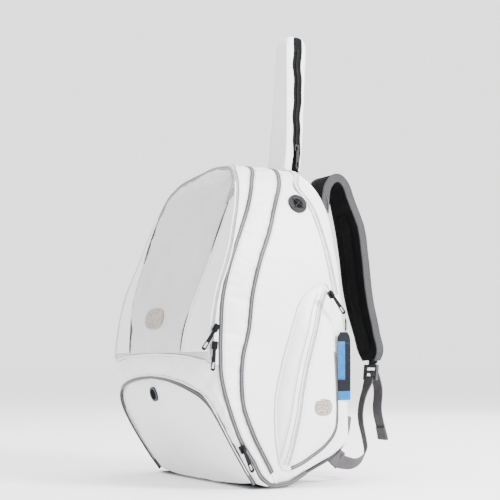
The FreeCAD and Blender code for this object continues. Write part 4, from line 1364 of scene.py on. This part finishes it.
# Yoke across the top of the back, and the padded back panel.
yoke = np.zeros((30, 10, 3))
for i in range(30):
    x = -104 + 208 * i / 29
    for j in range(10):
        z = 440 + 32 * j / 9
        yoke[i, j] = (x, 138.6 + 3.0 * math.sin(math.pi * j / 9) ** 0.5, z)
panel("yoke_cloth", yoke, "bag", "black", ["strap_yoke"], None, 81.0, 1.2, 0.3, flip=True, gather=0.2)
for sign, side in SIDES:
    pad = np.zeros((70, 26, 3))
    for i in range(70):
        a = (i / 69 - 0.5) * 2
        for j in range(26):
            b = (j / 25 - 0.5) * 2
            sa = math.sin(a * math.pi / 2)
            sb = math.sin(b * math.pi / 2)
            corner = math.sqrt(max(0.0, 1 - 0.10 * sb * sb * (abs(sa) ** 14)))
            h = ((1 - abs(sa) ** 10) * (1 - abs(sb) ** 6)) ** 0.5
            groove = 2.4 * math.exp(-((sa * 150) % 75 - 37.5) ** 2 / 30) * (1 - abs(sb) ** 8)
            pad[i, j] = (sign * 62 + 36 * sb * corner, 134.0 + 14 * h - groove, 250 + 150 * sa)
    ob = panel("back_pad_" + side, pad, "bag", "mesh", ["back_pads"] if sign > 0 else [], 2.0, 85.0 + sign,
               1.0, 0.6,
               flip=False, gather=0.6, cap=1.5)

# ------------------------------------------------------------------ racket handle sleeve
SLV = [(523, 98, 134, 27.0), (560, 102, 138, 26.5), (600, 104.5, 142, 25.0), (650, 107, 146.5, 22.0),
       (700, 109, 151, 18.8), (735, 110.5, 154, 16.4), (752, 112, 155, 15.2), (762, 115, 153, 14.0),
       (768, 121, 148, 12.0),
       (771, 128, 142, 7.0)]
sf = table([(z, a) for z, a, b, w in SLV])
sb_ = table([(z, b) for z, a, b, w in SLV])
sw = table([(z, w) for z, a, b, w in SLV])


def strip_y(z, which):
    a = 115.5 + (130 - 115.5) * (z - 523.5) / 276.5
    b = 130 + (148.5 - 130) * (z - 523.5) / 276.5
    wave = 1.2 * math.sin(z / 17.0) + 0.7 * math.sin(z / 7.3 + 1)
    return (a if which == 0 else b) + wave


zs = np.concatenate([np.linspace(523.5, 750, 70), np.linspace(753, 771, 9)])


def sleeve_loop(z, part):
    # Half outline of the sleeve's section as (x, y), from the middle of the front to the middle of the back.
    a, b, w = float(sf(z)), float(sb_(z)), float(sw(z))
    r = min(5.0, w * 0.7, (b - a) * 0.3)
    y0 = min(max(strip_y(z, 0), a + 1.0), b - 1)
    y1 = min(max(strip_y(z, 1), y0 + 0.6), b - 0.5)
    if part == "front":
        pts = [(0, a - 1.5), (w * 0.5, a - 1.0), (w - r, a), (w - 0.3 * r, a + 0.3 * r), (w, a + r),
               (w + 0.8, (a + y0) / 2),
               (w + 0.3, y0)]
    elif part == "strip":
        pts = [(w - 1.0, y0 - 1), (w - 1.6, (y0 + y1) / 2), (w - 1.0, y1 + 1)]
    else:
        pts = [(w + 0.2, y1), (w, max(y1, b - r)), (w - 0.3 * r, b - 0.3 * r), (w - r, b), (w * 0.5, b + 0.6),
               (0, b + 0.8)]
    return smooth_line(pts, 22 if part != "strip" else 8)


for part, mat, node in (("front", "pearl", "sleeve_front"), ("strip", "black", "sleeve_zip_tape"),
                        ("back", "pearl", "sleeve_back")):
    rows = []
    for z in zs:
        loop = sleeve_loop(z, part)
        if part == "front":
            full = np.concatenate([loop[::-1], (loop[1:] * (-1, 1))])
        elif part == "back":
            full = np.concatenate([loop, (loop[:-1] * (-1, 1))[::-1]])
        else:
            full = loop
        rows.append([(x, y, z) for x, y in full])
    g = np.array(rows)
    if part != "strip":
        g = roughen(g, 0.9, 26.0, 91.0 + len(part))
    for sgn in ((1, -1) if part == "strip" else (1,)):
        gg = g * (sgn, 1, 1)
        ob = grid_object("sleeve_%s_cloth%s" % (part, "" if part != "strip" else ("_r" if sgn > 0 else "_l")),
                         gg,
                         flip=(sgn > 0) if part == "strip" else (part == "back"))
        finish_piece(ob, "sleeve", mat, [node])
        lined(ob, 1.2)
        smoothed(ob)
cap_rows = []
for k in range(8):
    s = math.cos(k / 7 * math.pi / 2)
    row = []
    for j in range(32):
        t = 2 * math.pi * j / 32
        row.append((7.2 * s * math.cos(t), 135 + 7.4 * s * math.sin(t),
                    770.3 + 1.6 * math.sin(k / 7 * math.pi / 2)))
    cap_rows.append(row)
finish_piece(grid_object("sleeve_tip", np.array(cap_rows), wrap_v=True), "sleeve", "pearl")
for sgn, side in SIDES:
    zr_ = np.linspace(530, 758, 110)
    for k, off in (("a", 4.5), ):
        pth = np.array([(sgn * (float(sw(z)) + 0.6), strip_y(z, 0) - off, z) for z in zr_])
        stitches("sleeve_stitches_%s_%s" % (k, side), pth, np.tile((sgn, 0, 0), (110, 1)), "sleeve")
    pth = np.array([(sgn * (float(sw(z)) - 0.2), float(sf(z)) + 2.0, z) for z in np.linspace(526, 752, 110)])
    finish_piece(swept("sleeve_welt_" + side, pth, circle(1.5, 8)), "sleeve", "pearl")
    cz = np.linspace(530, 745, 100)
    pth = np.array([(sgn * (float(sw(z)) - 0.4), (strip_y(z, 0) + strip_y(z, 1)) / 2, z) for z in cz])
    coil = repeated("sleeve_coil_" + side, pth, np.tile((sgn, 0, 0), (100, 1)), 1.7, TOOTH[0], TOOTH[1],
                    scale=(1.5, 2.2, 1.4))
    finish_piece(coil, "sleeve", "black_coil")
collar_rows = []
for z, grow in ((486, -3.0), (500, 1.0), (512, 3.0), (519, 2.5), (522.4, 0.0)):
    row = []
    for j in range(48):
        t = 2 * math.pi * j / 48
        cx = 27.5 * math.copysign(abs(math.cos(t)) ** 0.5, math.cos(t))
        cy = 116 + 18.5 * math.copysign(abs(math.sin(t)) ** 0.5, math.sin(t))
        row.append((cx * (1 + grow / 60), cy, z))
    collar_rows.append(row)
ob = grid_object("sleeve_collar_cloth", np.array(collar_rows), wrap_v=True, flip=True)
finish_piece(ob, "bag", "black", ["sleeve_collar"])

# ------------------------------------------------------------------ hang tag
tl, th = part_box("hang_tag")
tx = (tl[0] + th[0]) / 2 / MM
tw = 12.5
ty = tl[1] / MM + tw + 1.0
tz0, tz1 = tl[2] / MM, th[2] / MM
for label, za, zb, ya, yb, mat in (("top", 0.86, 1.0, -1, 1, "card_dark"),
                                   ("blue", 0.30, 0.86, -1, 0.15, "card"),
                                   ("navy", 0.30, 0.86, 0.15, 1, "card_dark"),
                                   ("low", 0.13, 0.30, -1, 1, "card_dark"),
                                   ("end", 0.0, 0.13, -1, 1, "card")):
    g = np.zeros((14, 12, 3))
    for i in range(14):
        f = za + (zb - za) * i / 13
        z = tz0 + (tz1 - tz0) * f
        half = tw
        if f > 0.86:
            half = tw * math.sqrt(max(0.02, 1 - ((f - 0.86) / 0.14) ** 2 * 0.75))
        for j in range(12):
            g[i, j] = (tx + 0.3 + 1.2 * math.sin(f * 2.0), ty + half * (ya + (yb - ya) * j / 11), z)
    ob = grid_object("tag_" + label, g, flip=True)
    finish_piece(ob, "tag", mat, ["hang_tag"] if label == "blue" else [])
    lined(ob, 0.8, mat)
cordl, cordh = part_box("tag_loop")
lp = []
for k in range(36):
    a = 2 * math.pi * k / 36
    lp.append(((cordl[0] + cordh[0]) / 2 / MM + 1.4 * math.cos(a), (cordl[1] + cordh[1]) / 2 / MM + 0.5,
               (cordl[2] + cordh[2]) / 2 / MM + (cordh[2] - cordl[2]) / MM * 0.47 * math.sin(a)))
finish_piece(swept("tag_string", lp, circle(0.7, 8), closed=True), "bag", "black", ["tag_loop"])

# ------------------------------------------------------------------ padded inner walls
def node_tree(node_name):
    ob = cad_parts[node_name]
    verts = [tuple((ob.matrix_world @ v.co) / MM) for v in ob.data.vertices]
    return BVHTree.FromPolygons(verts, [tuple(q.vertices) for q in ob.data.polygons])


def reach(tree, y, z):
    hit = tree.ray_cast(Vector((250, y, z)), Vector((-1, 0, 0)))[0]
    return hit.x if hit is not None else None


def quilt(x, z, size, depth):
    # Diamond quilting: soft cushions between crossed stitch lines.
    a = math.sin(math.pi * (x + z) / size)
    b = math.sin(math.pi * (x - z) / size)
    return depth * (abs(a) * abs(b)) ** 0.5


div_lo, div_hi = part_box("racket_divider")
div_tree = node_tree("racket_divider")
div_y = (div_lo[1] + div_hi[1]) / 2 / MM
div_rows = []
for z in np.linspace(div_lo[2] / MM + 1.5, div_hi[2] / MM - 1.5, 120):
    half = reach(div_tree, div_y, z)
    if half is None or half < 10:
        continue
    edge = np.linspace(-half + 1.0, half - 1.0, 80)
    div_rows.append([(x, div_y - 1.3 - quilt(x, z, 34.0, 1.5), z) for x in edge])
finish_piece(grid_object("racket_divider_quilt", np.array(div_rows)), "bag", "lining", ["racket_divider"])
lined(made[-1], 2.6)
top_row = np.array(div_rows[-1]) + (0, 1.3, 0)
finish_piece(swept("racket_divider_binding", top_row, flat_section(6.0, 3.4, 5, 1.0),
                   up=np.tile((0, 0.0, 1.0), (80, 1))),
             "bag", "black")

liner_lo, liner_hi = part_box("shoe_liner")
liner_tree = node_tree("shoe_liner")
liner_rows = []
for z in np.linspace(liner_lo[2] / MM + 1.5, liner_hi[2] / MM - 3.5, 70):
    hit = liner_tree.ray_cast(Vector((0, -300, z)), Vector((0, 1, 0)))[0]
    if hit is None:
        continue
    half = reach(liner_tree, hit.y + 1.0, z)
    if half is None or half < 10:
        continue
    liner_rows.append([(x, hit.y + 0.6 - quilt(x, z, 30.0, 0.7), z) for x in np.linspace(-half + 1.0,
                                                                                         half - 1.0, 70)])
finish_piece(grid_object("shoe_liner_quilt", np.array(liner_rows)), "bag", "lining", ["shoe_liner"])
lined(made[-1], 1.8)

board_lo, board_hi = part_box("base_board")
board = np.zeros((40, 16, 3))
for i in range(40):
    for j in range(16):
        a = (i / 39 - 0.5) * 2
        b = (j / 15 - 0.5) * 2
        x = (board_lo[0] + board_hi[0]) / 2 / MM + a * (board_hi[0] - board_lo[0]) / 2 / MM * (1 - 0.03 * abs(b) ** 8)
        y = (board_lo[1] + board_hi[1]) / 2 / MM + b * (board_hi[1] - board_lo[1]) / 2 / MM * (1 - 0.06 * abs(a) ** 8)
        board[i, j] = (x, y, board_hi[2] / MM - 0.8 + 0.5 * (1 - a * a) * (1 - b * b))
finish_piece(grid_object("base_board_cover", board), "bag", "lining", ["base_board"])
lined(made[-1], 2.4)

# ------------------------------------------------------------------ kept CAD pieces get their materials
KEEP = {"side_eyelets": "plastic", "shoe_eyelet": "eyelet", "ladderlock_right": "grey_plastic",
        "ladderlock_left": "grey_plastic"}
for node_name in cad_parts:
    if node_name.endswith("_slider") or node_name.endswith("_pull"):
        KEEP[node_name] = "zinc"
for node_name, mat in KEEP.items():
    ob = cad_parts[node_name]
    ob.data.materials.clear()
    ob.data.materials.append(M[mat])

# ------------------------------------------------------------------ floor, light and camera
floor_mat, nt, b = new_material("studio_floor")
vec = coords(nt)
fine = texture(nt, "ShaderNodeTexNoise", vec, Scale=40.0, Detail=3.0)
nt.links.new(ramp(nt, fine.outputs["Fac"], [(0.3, (0.84, 0.84, 0.84)), (0.7, (0.86, 0.86, 0.86))]),
             b.inputs["Base Color"])
b.inputs["Roughness"].default_value = 0.9
b.inputs["Specular IOR Level"].default_value = 0.1
b.inputs["Emission Color"].default_value = (1, 1, 1, 1)
b.inputs["Emission Strength"].default_value = 0.25
me = bpy.data.meshes.new("floor")
ring = 64
verts = [(0, 0, -0.0012)]
faces = []
radii = [(0.6, 0), (1.5, 0), (3.0, 0), (6.0, 0), (14.0, 0), (40.0, 0)]
for r, h in radii:
    for k in range(ring):
        t = 2 * math.pi * k / ring
        verts.append((r * math.cos(t), r * math.sin(t), h - 0.0012))
for k in range(ring):
    faces.append((0, 1 + k, 1 + (k + 1) % ring))
for i in range(len(radii) - 1):
    for k in range(ring):
        a = 1 + i * ring + k
        c = 1 + i * ring + (k + 1) % ring
        faces.append((a, a + ring, c + ring, c))
me.from_pydata(verts, [], faces)
floor = bpy.data.objects.new("floor", me)
for poly in me.polygons:
    poly.use_smooth = True
bpy.context.scene.collection.objects.link(floor)
me.materials.append(floor_mat)

world = bpy.data.worlds.new("studio")
bpy.context.scene.world = world
world.use_nodes = True
world.node_tree.nodes["Background"].inputs["Color"].default_value = (1, 1, 1, 1)
world.node_tree.nodes["Background"].inputs["Strength"].default_value = 2.2


def area(name, loc, target, size, power):
    light = bpy.data.lights.new(name, "AREA")
    light.shape = "RECTANGLE"
    light.size, light.size_y = size
    light.energy = power
    ob = bpy.data.objects.new(name, light)
    ob.location = loc
    ob.rotation_euler = (Vector(target) - Vector(loc)).to_track_quat("-Z", "Y").to_euler()
    bpy.context.scene.collection.objects.link(ob)
    return ob


area("key", (2.2, 1.1, 1.7), (0, 0, 0.3), (0.8, 0.8), 215)
area("top", (0.1, 0.5, 2.6), (0, 0, 0.2), (1.2, 1.2), 60)
area("rear", (-1.4, 1.9, 1.5), (0, 0, 0.4), (1.0, 1.0), 35)

cam = bpy.data.cameras.new("photo_camera")
camera = bpy.data.objects.new("photo_camera", cam)
bpy.context.scene.collection.objects.link(camera)
camera.location = (1.645, -0.935, 0.19)
look = Vector((-0.859, 0.5125, 0.1012)).normalized()
camera.rotation_euler = look.to_track_quat("-Z", "Y").to_euler()
cam.sensor_width = 36
cam.lens = 80.7
bpy.context.scene.camera = camera
